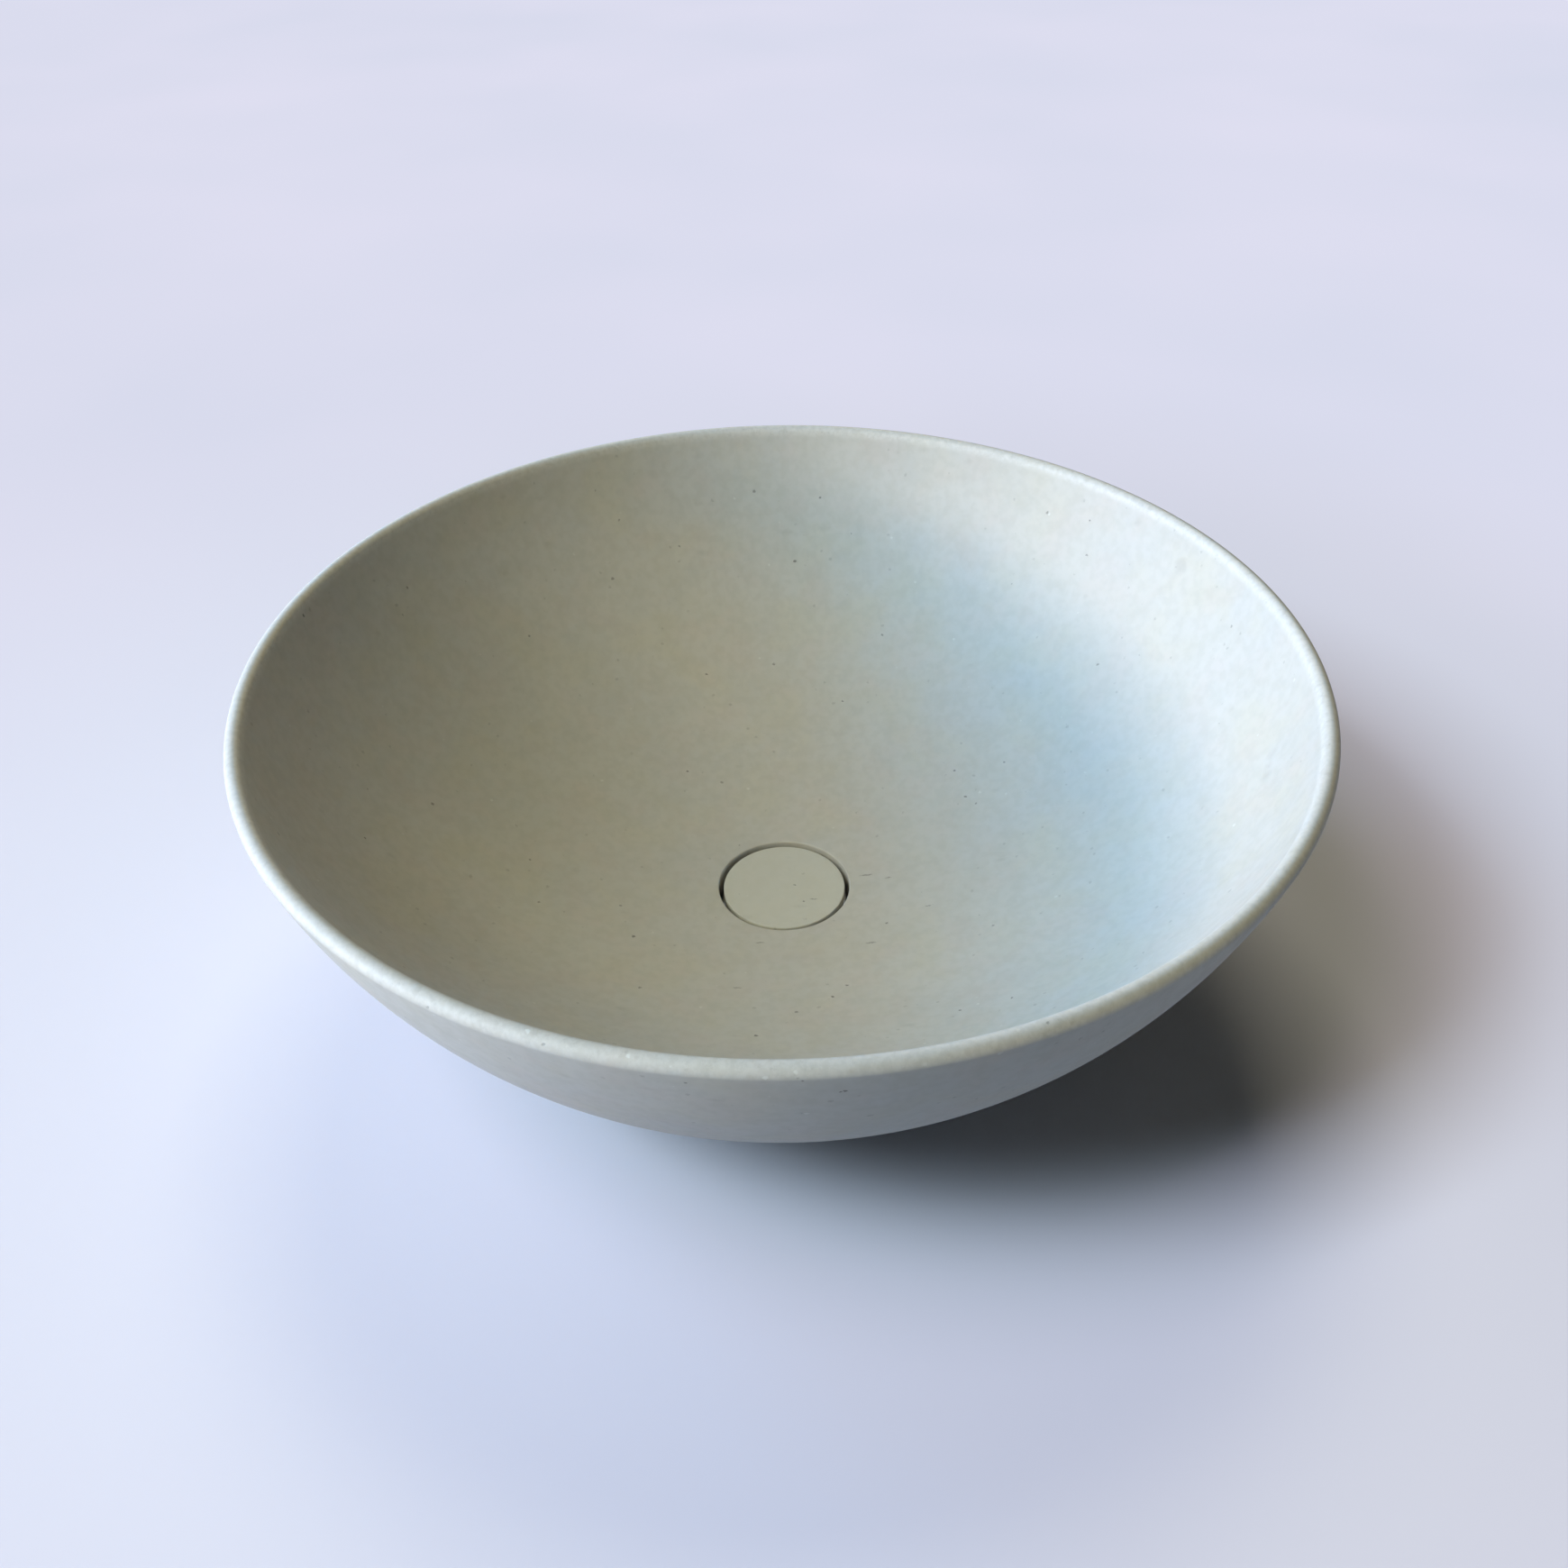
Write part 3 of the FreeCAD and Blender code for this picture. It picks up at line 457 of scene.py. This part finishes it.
class Paint(Tree):
    """A material's node tree, with the patterns that its finishes are made of."""

    def __init__(self, name):
        self.material = bpy.data.materials.new(name)
        self.material.use_nodes = True
        super().__init__(self.material.node_tree)
        self.place = self.node("ShaderNodeTexCoord", out="Object")

    def stretched(self, by, place=None):
        """Coordinates multiplied along the axes."""
        return self.node("ShaderNodeVectorMath", {"operation": "MULTIPLY"}, place or self.place, by)

    def around_axis(self):
        """Radius and height, for marks that run around the axis."""
        x, y, z = self.parts(self.place)
        return self.node("ShaderNodeCombineXYZ", {}, (x * x + y * y) ** 0.5, 0.0, z)

    def cloud(self, scale, detail, rough, place=None):
        """Soft noise from 0 to 1."""
        return self.node("ShaderNodeTexNoise", {}, Vector=place or self.place, Scale=scale,
                         Detail=detail, Roughness=rough)

    def mix(self, factor, first, second):
        """One colour or another."""
        settings = {"data_type": "RGBA", "blend_type": "MIX"}
        return self.node("ShaderNodeMix", settings, factor, first, second)

    def specks(self, per_metre, share, size, soft, place=None):
        """Scattered grains: a share of the cells hold one, each of its own size."""
        where = place or self.place
        settings = {"feature": "F1", "voronoi_dimensions": "3D"}
        near = self.node("ShaderNodeTexVoronoi", settings, Vector=where, Scale=per_metre, out="Distance")
        tone = self.node("ShaderNodeTexVoronoi", settings, Vector=where, Scale=per_metre, out="Color")
        kind = self.node("ShaderNodeSeparateColor", {}, tone, out="Red")
        grain = self.node("ShaderNodeSeparateColor", {}, tone, out="Green")
        reach = (grain * 0.6 + 0.4) * size
        inside = self.node("ShaderNodeMapRange", {"clamp": True}, near - reach, -soft, 0.0, 1.0, 0.0)
        return inside * (kind < share)

    def nearest(self, spots, place, squeeze=None):
        """How far outside the nearest of some round spots a point is, in metres."""
        found = 1.0
        for x, y, z, radius in spots:
            spot = (x * MM, y * MM, z * MM)
            away = self.node("ShaderNodeVectorMath", {"operation": "SUBTRACT"}, place, spot)
            if squeeze:
                away = self.stretched(squeeze, away)
            length = self.node("ShaderNodeVectorMath", {"operation": "LENGTH"}, away, out="Value")
            found = (length - radius * MM).maths("MINIMUM", found)
        return found

    def bump(self, height, distance, strength):
        """A normal from heights."""
        return self.node("ShaderNodeBump", {}, Strength=strength, Distance=distance, Height=height)

    def finish(self, **sockets):
        """The surface itself."""
        shader = self.node("ShaderNodeBsdfPrincipled", {}, **sockets)
        self.node("ShaderNodeOutputMaterial", {}, Surface=shader)
        return self.material


def grey(level):
    return (level, level, level, 1)


def colour(red, green, blue):
    """A colour from its screen values, 0 to 255, as the shaders want it."""
    linear = []
    for part in (red, green, blue):
        share = part / 255
        linear.append(share / 12.92 if share <= 0.04045 else ((share + 0.055) / 1.055) ** 2.4)
    return (*linear, 1)


# Dark grains that the photograph shows: place and radius in millimetres
BOLD_GRAINS = (
    (-62.7, -39.5, 44.3, 0.75),
    (7.7, 170.9, 98.8, 0.75),
    (-11.4, -104.0, 53.9, 0.65),
    (18.5, -76.6, 45.6, 0.6),
    (24.5, -68.9, 44.1, 0.6),
    (-197.4, 44.5, 149.8, 0.6),
    (65.7, -97.7, 59.3, 0.55),
    (82.7, 42.5, 49.8, 0.55),
    (85.1, -97.1, 65.1, 0.55),
    (20.7, 189.0, 124.6, 0.55),
    (29.6, 108.6, 57.0, 0.5),
    (36.1, 177.1, 110.6, 0.5),
    (144.5, 135.0, 138.9, 0.5),
    (43.0, -28.6, 39.5, 0.5),
    (-165.2, -35.8, 96.5, 0.5),
    (-36.5, 122.6, 64.5, 0.5),
    (-44.5, 68.6, 46.4, 0.5),
    (79.3, 59.3, 51.8, 0.5),
    (8.4, -10.0, 35.4, 0.45),
    (4.6, 0.6, 35.4, 0.45),
    (-106.9, -180.6, 152.4, 0.5),
    (-70.3, -197.2, 153.7, 0.45),
    (-29.3, -206.7, 147.1, 0.5),
    (4.5, -209.8, 150.7, 0.45),
    (3.2, -210.0, 152.0, 0.35),
    (16.9, -206.7, 142.5, 0.6),
    (15.5, -206.8, 142.1, 0.4),
    (76.1, -192.8, 154.9, 0.55),
)
FAINT_GRAINS = (
    (-12.1, 191.3, 127.3, 0.7),
    (4.1, -86.6, 47.8, 0.7),
    (-148.7, 7.7, 78.3, 0.7),
    (-69.4, -20.3, 43.9, 0.6),
    (-81.7, 152.7, 101.2, 0.6),
    (127.1, 149.4, 135.6, 0.5),
    (-57.4, -74.6, 50.2, 0.6),
    (-49.5, 171.7, 107.9, 0.5),
    (-3.4, 129.3, 65.3, 0.6),
    (-108.7, -3.1, 55.5, 0.6),
    (101.3, 56.3, 58.5, 0.5),
    (144.6, 82.7, 93.9, 0.5),
    (-102.0, -28.7, 54.4, 0.5),
    (87.0, 37.2, 50.3, 0.5),
    (50.0, 137.6, 76.3, 0.5),
    (-28.5, 63.9, 43.3, 0.5),
    (85.4, -42.8, 50.6, 0.5),
    (-167.3, 97.5, 130.8, 0.6),
    (-119.1, 114.9, 92.8, 0.5),
    (-78.4, 172.0, 122.8, 0.5),
    (143.2, 126.1, 125.8, 0.5),
)
# Drag marks beside the drain: place and half length in millimetres
DRAG_MARKS = (
    (36.0, 4.3, 37.2, 3.4),
    (-19.4, -69.2, 43.7, 2.6),
    (-10.6, -37.3, 37.5, 2.6),
    (35.8, -40.8, 40.0, 3.0),
    (61.0, -21.1, 42.0, 2.6),
    (45.3, 1.0, 38.4, 2.4),
    (12.6, -8.6, 35.4, 2.2),
)
# Pale flecks on the lip: place and radius in millimetres
PALE_FLECKS = (
    (-6.2, -209.8, 152.4, 0.7),
    (2.5, -209.2, 153.8, 0.6),
    (-75.3, -193.0, 155.0, 0.8),
    (-45.2, -202.8, 154.6, 0.6),
    (-33.0, -206.5, 154.2, 0.5),
)
# Shallow dents high on one wall: place and radius in millimetres
DENTS = (
    (189.1, -28.5, 126.5, 2.2),
    (186.8, -33.5, 124.5, 1.6),
    (185.3, -37.5, 122.9, 2.4),
    (177.3, 89.6, 140.8, 3.5),
)


# How far the outlines of grains wander, and the two heights between which the lip is painted pale as a
# highlight
GRAIN_BEND = 1.6 * MM
LIP_START = HEIGHT - 5 * MM
LIP_FULL = HEIGHT - 2 * MM


def cast_stone(name, pale):
    """Matte cast stone: warm grey, cloudy up close, with grains and drag marks, and a painted highlight
    that makes the lip pale.
    """
    paint = Paint(name)
    wide = paint.cloud(9, 3, 0.6)
    mottle = paint.cloud(70, 3, 0.6)
    cream = paint.cloud(240, 2, 0.5)
    fine = paint.cloud(900, 2, 0.6)
    warm = paint.cloud(30, 2, 0.55)
    cool = paint.cloud(22, 2, 0.55, paint.stretched((1, 1, -1)))
    rosy = paint.cloud(48, 2, 0.55, paint.stretched((1, -1, 1)))
    bend = paint.node("ShaderNodeTexNoise", {}, Vector=paint.place, Scale=700, out="Color")
    bend = paint.node("ShaderNodeVectorMath", {"operation": "SUBTRACT"}, bend, (0.5,) * 3)
    bent = paint.node("ShaderNodeVectorMath", {"operation": "MULTIPLY_ADD"}, bend, (GRAIN_BEND,) * 3,
                      paint.place)
    body = paint.mix(wide, colour(198, 193, 182), colour(206, 202, 194))
    body = paint.mix(paint.between(mottle, 0.4, 0.75) * 0.25, body, colour(184, 181, 167))
    body = paint.mix(paint.between(warm, 0.45, 0.7) * 0.22, body, colour(203, 193, 163))
    body = paint.mix(paint.between(cool, 0.45, 0.7) * 0.16, body, colour(187, 190, 194))
    body = paint.mix(paint.between(rosy, 0.45, 0.7) * 0.2, body, colour(205, 189, 178))
    body = paint.mix(paint.between(cream, 0.35, 0.7) * 0.21, body, colour(176, 172, 158))
    body = paint.mix(pale, body, colour(216, 213, 198))
    streak = paint.specks(110, 0.3, 0.24, 0.16, paint.stretched((0.4, 1, 1), bent))
    faint = paint.specks(240, 0.12, 0.26, 0.12, bent)
    dark = paint.specks(100, 0.11, 0.08, 0.03, bent)
    white = paint.specks(180, 0.1, 0.18, 0.1, bent)
    body = paint.mix(streak * 0.12, body, colour(120, 114, 98))
    body = paint.mix(faint * 0.24, body, colour(96, 88, 74))
    body = paint.mix(white * 0.36, body, colour(238, 237, 230))
    grain = paint.between(paint.nearest(BOLD_GRAINS, bent), -0.2 * MM, 0.3 * MM, 1.0, 0.0)
    light_grain = paint.between(paint.nearest(FAINT_GRAINS, bent), -0.2 * MM, 0.35 * MM, 1.0, 0.0)
    drag = paint.between(paint.nearest(DRAG_MARKS, bent, (1, 5, 5)), -1.3 * MM, 0.2 * MM, 1.0, 0.0)
    fleck = paint.between(paint.nearest(PALE_FLECKS, bent), -0.4 * MM, 0.3 * MM, 1.0, 0.0)
    body = paint.mix(fleck * 0.7, body, colour(240, 240, 234))
    body = paint.mix(drag * 0.5, body, colour(92, 86, 74))
    body = paint.mix(light_grain * 0.52, body, colour(72, 62, 48))
    body = paint.mix(dark * 0.42, body, colour(72, 62, 48))
    body = paint.mix(grain * 0.66, body, colour(58, 50, 40))
    dent = paint.between(paint.nearest(DENTS, paint.place), -2.4 * MM, 1.4 * MM, 1.0, 0.0)
    # The dents are also darkened in colour: painted shade in them
    body = paint.mix(dent * 0.16, body, colour(150, 140, 132))
    height = fine * 0.12 + cream * 0.25 + paint.cloud(180, 2, 0.5) * 0.4 - grain * 0.5 - dent * 6
    z = paint.parts(paint.place)[2]
    edge = paint.between(z, LIP_START, LIP_FULL)
    patchy_lip_highlight = paint.between(paint.cloud(420, 3, 0.65), 0.38, 0.62)
    soiled = paint.between(paint.cloud(300, 3, 0.7), 0.52, 0.7)
    # Painted highlight: the top of the lip is mixed towards a pale colour, in patches
    body = paint.mix(edge * (patchy_lip_highlight * 0.2 + 0.22), body, colour(235, 231, 224))
    body = paint.mix(edge * soiled * 0.14, body, colour(150, 141, 126))
    rough = paint.between(wide, 0.2, 0.8, 0.58, 0.7) - edge * 0.08
    return paint.finish(Base_Color=body, Roughness=rough, Normal=paint.bump(height, 0.0002, 0.3))


def lathed_metal(name, tone, dull, rough, marks, wear):
    """Turned or plated metal: fine rings from the tool, dull patches and small dark spots."""
    paint = Paint(name)
    rings = paint.cloud(3500, 2, 0.6, paint.around_axis())
    smear = paint.cloud(70, 4, 0.6)
    spots = paint.specks(450, 0.1, 0.3, 0.2)
    body = paint.mix(paint.between(smear, 0.4, 0.75) * wear, tone, dull)
    body = paint.mix(spots * wear * 0.6, body, dull)
    roughness = paint.between(smear, 0.3, 0.8, rough, rough * 1.9)
    height = rings + smear * 0.2
    normal = paint.bump(height, marks, 0.6)
    return paint.finish(Base_Color=body, Roughness=roughness, Metallic=1.0, Normal=normal)


def black_rubber():
    """Moulded rubber, slightly bloomed, with dust in its pores."""
    paint = Paint("black_rubber")
    bloom = paint.cloud(45, 4, 0.65)
    grain = paint.cloud(2200, 2, 0.5)
    dust = paint.specks(800, 0.2, 0.25, 0.15)
    body = paint.mix(paint.between(bloom, 0.4, 0.8) * 0.5, grey(0.018), grey(0.05))
    body = paint.mix(dust * 0.4, body, grey(0.16))
    rough = paint.between(bloom, 0.3, 0.8, 0.5, 0.72)
    return paint.finish(Base_Color=body, Roughness=rough, Normal=paint.bump(grain + bloom, 0.00008, 0.5))


def white_plastic():
    """Moulded acetal, a little uneven in tone."""
    paint = Paint("white_plastic")
    haze = paint.cloud(60, 3, 0.5)
    grain = paint.cloud(1500, 2, 0.5)
    body = paint.mix(paint.between(haze, 0.3, 0.8), colour(232, 231, 224), colour(221, 219, 208))
    rough = paint.between(haze, 0.2, 0.8, 0.32, 0.46)
    return paint.finish(Base_Color=body, Roughness=rough, Normal=paint.bump(grain, 0.00004, 0.5))


def sealant():
    """Cured grey sealant with small bubbles."""
    paint = Paint("adhesive")
    lumps = paint.cloud(300, 3, 0.6)
    bubbles = paint.specks(900, 0.25, 0.3, 0.1)
    body = paint.mix(lumps, colour(196, 197, 194), colour(214, 214, 210))
    body = paint.mix(bubbles * 0.5, body, colour(160, 160, 156))
    height = lumps - bubbles * 0.6
    return paint.finish(Base_Color=body, Roughness=0.42, Normal=paint.bump(height, 0.0002, 0.6))


def put_camera():
    """The photograph's camera."""
    data = bpy.data.cameras.new("camera")
    data.sensor_width = SENSOR_WIDTH
    data.lens = SENSOR_WIDTH * FOCAL_PIXELS / PHOTO_PIXELS
    camera = bpy.data.objects.new("camera", data)
    bpy.context.scene.collection.objects.link(camera)
    ahead = Vector((math.sin(CAMERA_YAW) * math.cos(CAMERA_DOWN),
                    math.cos(CAMERA_YAW) * math.cos(CAMERA_DOWN),
                    -math.sin(CAMERA_DOWN)))
    right = ahead.cross(Vector((0, 0, 1))).normalized()
    up = right.cross(ahead)
    turned_right = right * math.cos(CAMERA_ROLL) - up * math.sin(CAMERA_ROLL)
    turned_up = right * math.sin(CAMERA_ROLL) + up * math.cos(CAMERA_ROLL)
    place = Matrix((turned_right, turned_up, -ahead)).transposed().to_4x4()
    place.translation = Vector((0, -CAMERA_DISTANCE * math.cos(CAMERA_ELEVATION),
                                RIM_PLANE + CAMERA_DISTANCE * math.sin(CAMERA_ELEVATION)))
    camera.matrix_world = place
    bpy.context.scene.camera = camera


def lamp(name, azimuth, elevation, width, height, power, tone, shines_on):
    """A soft rectangular lamp that faces the bowl from LAMP_DISTANCE."""
    data = bpy.data.lights.new(name, "AREA")
    data.shape = "RECTANGLE"
    data.size = width
    data.size_y = height
    data.energy = power
    data.color = tone
    made = bpy.data.objects.new(name, data)
    bpy.context.scene.collection.objects.link(made)
    made.visible_camera = False
    made.light_linking.receiver_collection = shines_on
    middle = Vector((0, 0, HEIGHT / 2))
    azimuth, elevation = math.radians(azimuth), math.radians(elevation)
    away = Vector((math.cos(elevation) * math.cos(azimuth), math.cos(elevation) * math.sin(azimuth),
                   math.sin(elevation)))
    made.location = middle + away * LAMP_DISTANCE
    made.rotation_euler = away.to_track_quat("Z", "Y").to_euler()


def linked(name, shown, state):
    """What a lamp shines on: only one object, or all but that one."""
    group = bpy.data.collections.new(name)
    group.objects.link(shown)
    group.collection_objects[0].light_linking.link_state = state
    return group


def put_floor():
    """Pale floor as the camera, gloss and glass see it, darker where light bounces off it."""
    mesh = bpy.data.meshes.new("floor")
    corners = [(across * FLOOR_REACH, along * FLOOR_REACH, 0)
               for across, along in ((-1, -1), (1, -1), (1, 1), (-1, 1))]
    mesh.from_pydata(corners, [], [(0, 1, 2, 3)])
    floor = bpy.data.objects.new("floor", mesh)
    bpy.context.scene.collection.objects.link(floor)
    paint = Paint("floor")
    x, y, z = paint.parts(paint.place)
    away = (x * x + y * y) ** 0.5
    haze = paint.cloud(2.5, 2, 0.5)
    pale = paint.mix(haze, colour(215, 219, 232), colour(219, 223, 236))
    near = paint.node("ShaderNodeBsdfDiffuse", {}, Color=pale)
    backdrop = paint.mix(haze, colour(211, 216, 234), colour(227, 225, 243))
    glow = paint.node("ShaderNodeEmission", {}, Color=backdrop, Strength=1.0)
    shown = paint.node("ShaderNodeMixShader", {}, paint.between(away, 0.28, 0.7), near, glow)
    bounce = paint.node("ShaderNodeBsdfDiffuse", {}, Color=colour(148, 164, 180))
    surface = paint.node("ShaderNodeMixShader", {}, seen(paint, 1.0), bounce, shown)
    paint.node("ShaderNodeOutputMaterial", {}, Surface=surface)
    mesh.materials.append(paint.material)
    return floor


def seen(tree, mirrored):
    """Whether the camera, gloss or glass sees a place, and not light that spreads from it."""
    glossy = tree.node("ShaderNodeLightPath", out="Is Glossy Ray") * mirrored
    through = tree.node("ShaderNodeLightPath", out="Is Transmission Ray")
    camera = tree.node("ShaderNodeLightPath", out="Is Camera Ray")
    return camera.maths("MAXIMUM", glossy).maths("MAXIMUM", through)


def put_surround():
    """A dim warm surround that the camera, gloss and glass see as a pale backdrop."""
    world = bpy.data.worlds.new("surround")
    bpy.context.scene.world = world
    world.use_nodes = True
    tree = Tree(world.node_tree)
    pale = tree.node("ShaderNodeBackground", {}, Color=colour(222, 222, 238), Strength=1.0)
    dim = tree.node("ShaderNodeBackground", {}, Color=(1.0, 0.83, 0.5, 1), Strength=0.034)
    surface = tree.node("ShaderNodeMixShader", {}, seen(tree, 0.5), dim, pale)
    tree.node("ShaderNodeOutputWorld", {}, Surface=surface)


# Lamps: name, azimuth and elevation in degrees, width and height in metres, watts and colour
BASIN_LAMPS = (
    ("low_window", 185, 10.8, 2.2, 0.45, 131, (1.0, 0.77, 0.58)),
    ("sky_window", 187, 20, 2.2, 0.9, 141, (0.05, 0.46, 1.0)),
    ("upper_window", 150, 35, 1.2, 1.2, 32, (0.24, 0.5, 1.0)),
    ("back_window", 120, 19, 0.8, 0.8, 21, (0.38, 0.65, 1.0)),
    ("front_left", 210, 35, 1.2, 1.2, 40, (0.81, 0.86, 0.94)),
    ("ceiling", 225, 55, 1.6, 1.6, 56, (1.0, 1.0, 0.68)),
    ("back_lamp", 88, 31, 1.2, 1.2, 24, (1.0, 0.9, 0.55)),
)
FLOOR_LAMPS = (
    ("floor_main", 210, 45, 1.2, 1.2, 116, (0.77, 0.91, 1.0)),
    ("floor_high", 210, 60, 1.6, 1.6, 58, (1.0, 0.83, 0.93)),
    ("floor_back", 90, 62, 1.6, 1.6, 48, (1.0, 0.9, 0.65)),
    ("floor_low", 150, 30, 1.0, 1.0, 15, (0.02, 0.5, 1.0)),
)

put_camera()
put_surround()
floor = put_floor()
basin_only = linked("basin_only", floor, "EXCLUDE")
floor_only = linked("floor_only", floor, "INCLUDE")
for given in BASIN_LAMPS:
    lamp(*given, basin_only)
for given in FLOOR_LAMPS:
    lamp(*given, floor_only)
TURNED = turned_tree()
ARMS = arms_tree()
STONE = cast_stone("cast_stone", 0.0)
COVER_STONE = cast_stone("cover_stone", 0.5)
CHROME = lathed_metal("chrome", (0.76, 0.77, 0.79, 1), (0.5, 0.51, 0.52, 1), 0.09, 0.00001, 0.3)
BRASS = lathed_metal("brass", (0.72, 0.53, 0.26, 1), (0.36, 0.22, 0.09, 1), 0.24, 0.00004, 0.6)
STEEL = lathed_metal("steel", (0.6, 0.6, 0.6, 1), (0.34, 0.33, 0.32, 1), 0.22, 0.00003, 0.4)
RUBBER = black_rubber()
PLASTIC = white_plastic()
FINISHES = {
    "cast_stone": STONE,
    "adhesive": sealant(),
    "brass": BRASS,
    "chrome": CHROME,
    "steel": STEEL,
    "black_rubber": RUBBER,
    "white_plastic": PLASTIC,
}
for part in frame["record"]["subparts"]:
    node = nodes[part["node"]]
    node.data.materials.clear()
    node.data.materials.append(FINISHES[part["material_slot"]])

bowl = turned("stone_bowl", bowl_section(), STONE, Steps=360, Unevenness=0.12 * MM, Swell=18.0)
stand_in(bowl, "bowl", "basin")

low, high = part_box("cover_disc")
corners = ((0, low.z, 0), (high.x, low.z, 0.3 * MM), (high.x, high.z, 0.5 * MM), (0, high.z, 0))
cover = turned("stone_cover", lathe(corners), COVER_STONE, Steps=180, Unevenness=0.04 * MM, Swell=60.0)
stand_in(cover, "cover_disc", "cover")

# Rings with a plain section: node, body, slot, inner radius, rounding and unevenness in millimetres
RINGS = (
    ("bowl_washer", "basin", "black_rubber", 21.055, 0.9, 0.1),
    ("flange_gasket", "basin", "black_rubber", 21.055, 0.5, 0.08),
    ("slip_ring", "basin", "white_plastic", 21.055, 0.25, 0.02),
    ("cover_seal", "cover", "black_rubber", 19.5, 0.45, 0.04),
    ("thrust_washer", "cover", "steel", 3.05, 0.12, 0.02),
)
for node, body, slot, bore, rounding, uneven in RINGS:
    low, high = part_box(node)
    ring = ((bore * MM, low.z), (high.x, low.z), (high.x, high.z), (bore * MM, high.z))
    corners = [(*corner, rounding * MM) for corner in ring]
    piece = turned("turned_" + node, lathe(corners), FINISHES[slot], Unevenness=uneven * MM, Swell=90.0)
    stand_in(piece, node, body)

low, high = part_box("waste_body")
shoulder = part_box("flange_gasket")[1].z
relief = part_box("back_nut")[0].z
corners = (
    (PIPE_BORE, low.z, 0.3 * MM),
    (PIPE_THREAD - 0.6 * MM, low.z, 0.1 * MM),
    (PIPE_THREAD, low.z + 0.6 * MM, 0),
    (PIPE_THREAD, relief - RELIEF_WIDTH, 0),
    (PIPE_THREAD - RELIEF, relief - RELIEF_WIDTH, 0),
    (PIPE_THREAD - RELIEF, relief, 0),
    (PIPE_THREAD, relief, 0),
    (PIPE_THREAD, shoulder, 0),
    (high.x, shoulder, 0.3 * MM),
    (high.x, high.z, 0.5 * MM),
    (PIPE_BORE + 1 * MM, high.z, 0.3 * MM),
    (PIPE_BORE, high.z - 1 * MM, 0.3 * MM),
)
section = lathe(corners, fine_radius=PIPE_THREAD, fine=0.18 * MM)
tube = turned("waste_tube", section, CHROME, Thread_radius=PIPE_THREAD, Thread_pitch=PIPE_PITCH,
              Thread_depth=PIPE_DEPTH, Thread_low=low.z - PIPE_PITCH / 2, Thread_high=shoulder - 2 * MM)
hub_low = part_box("cartridge_base")[0].z
hub_high = hub_low + HUB_HEIGHT
corners = ((HUB_BORE, hub_low, 0.3 * MM), (HUB_RADIUS, hub_low, 0.4 * MM),
           (HUB_RADIUS, hub_high, 0.4 * MM), (HUB_BORE, hub_high, 0.3 * MM))
hub = turned("waste_hub", lathe(corners), CHROME)
arms = ARMS.make("waste_arms", Count=4, Width=3 * MM, Height=2.4 * MM, Rounding=0.5 * MM, Inner=5.5 * MM,
                 Outer=PIPE_BORE + 0.5 * MM, Level=hub_low + 1.2 * MM, Material=CHROME)
for piece in (tube, hub, arms):
    stand_in(piece, "waste_body", "basin")

# Other turned pieces: node, body, slot, the thread's radius and its two ends, and the corners of the
# half section as radius, height above the node's base and rounding, all in millimetres
TURNED_PIECES = (
    ("cover_carrier", "cover", "brass", (0, 0, 0),
     ((3.05, 0, 0.15), (19.4, 0, 0.2), (19.4, 0.9, 0.1), (23.5, 0.9, 0.2), (23.5, 2.5, 0.3),
      (3.05, 2.5, 0.15))),
    ("plunger", "cover", "brass", (3, 16.2, 20.5),
     ((0, 0, 0), (3, 0, 0.3), (3, 3.9, 0), (8.5, 3.9, 0.2), (8.5, 5.3, 0.2), (3.5, 5.3, 0.1),
      (3.5, 16.2, 0.2), (3, 16.2, 0), (3, 20.5, 0.3), (0, 20.5, 0))),
    ("cartridge_base", "basin", "brass", (4, 0, 3),
     ((0, 0, 0), (4, 0, 0.4), (4, 3, 0), (10, 3, 0.1), (10, 4.2, 0.15), (0, 4.2, 0))),
    ("cartridge_sleeve", "basin", "chrome", (0, 0, 0),
     ((8.8, 0, 0.15), (10, 0, 0.15), (10, 19.6, 0.8), (5.53, 19.6, 0.2), (5.53, 17.2, 0.1),
      (8.8, 17.2, 0.3))),
)
for node, body, slot, thread, profile in TURNED_PIECES:
    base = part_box(node)[0].z
    corners = [(radius * MM, base + height * MM, rounding * MM) for radius, height, rounding in profile]
    section = lathe(corners, 1.5 * MM, thread[0] * MM or -1.0, 0.12 * MM)
    piece = turned("turned_" + node, section, FINISHES[slot], Thread_radius=thread[0] * MM,
                   Thread_pitch=SCREW_PITCH, Thread_depth=SCREW_DEPTH, Thread_low=base + thread[1] * MM,
                   Thread_high=base + thread[2] * MM)
    stand_in(piece, node, body)

# Hexagon nuts: node, body, bore and corner bevel in millimetres
for node, body, bore, bevel in (("back_nut", "basin", 21.055, 1.2), ("lock_nut", "cover", 3.05, 0.4)):
    low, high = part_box(node)
    bevel = bevel * MM
    shoulder = high.x - bevel / math.tan(BEVEL_SLOPE)
    corners = ((bore * MM, low.z, 0.2 * MM), (shoulder, low.z, 0.2 * MM),
               (high.x, low.z + bevel, 0.1 * MM), (high.x, high.z - bevel, 0.1 * MM),
               (shoulder, high.z, 0.2 * MM), (bore * MM, high.z, 0.2 * MM))
    nut = turned("turned_" + node, lathe(corners, 0.8 * MM), BRASS, Steps=288, Flats=2 * high.y)
    stand_in(nut, node, body)

# The spring, coiled to fill the CAD spring's box. In the waste it stretches as the cover rises: its foot
# stays with the basin, its head goes with the cover
low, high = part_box("latch_spring")
spring = coil("coil_spring", low, high, STEEL)
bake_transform(spring)
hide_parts("latch_spring")

bpy.context.scene.view_settings.view_transform = "Standard"
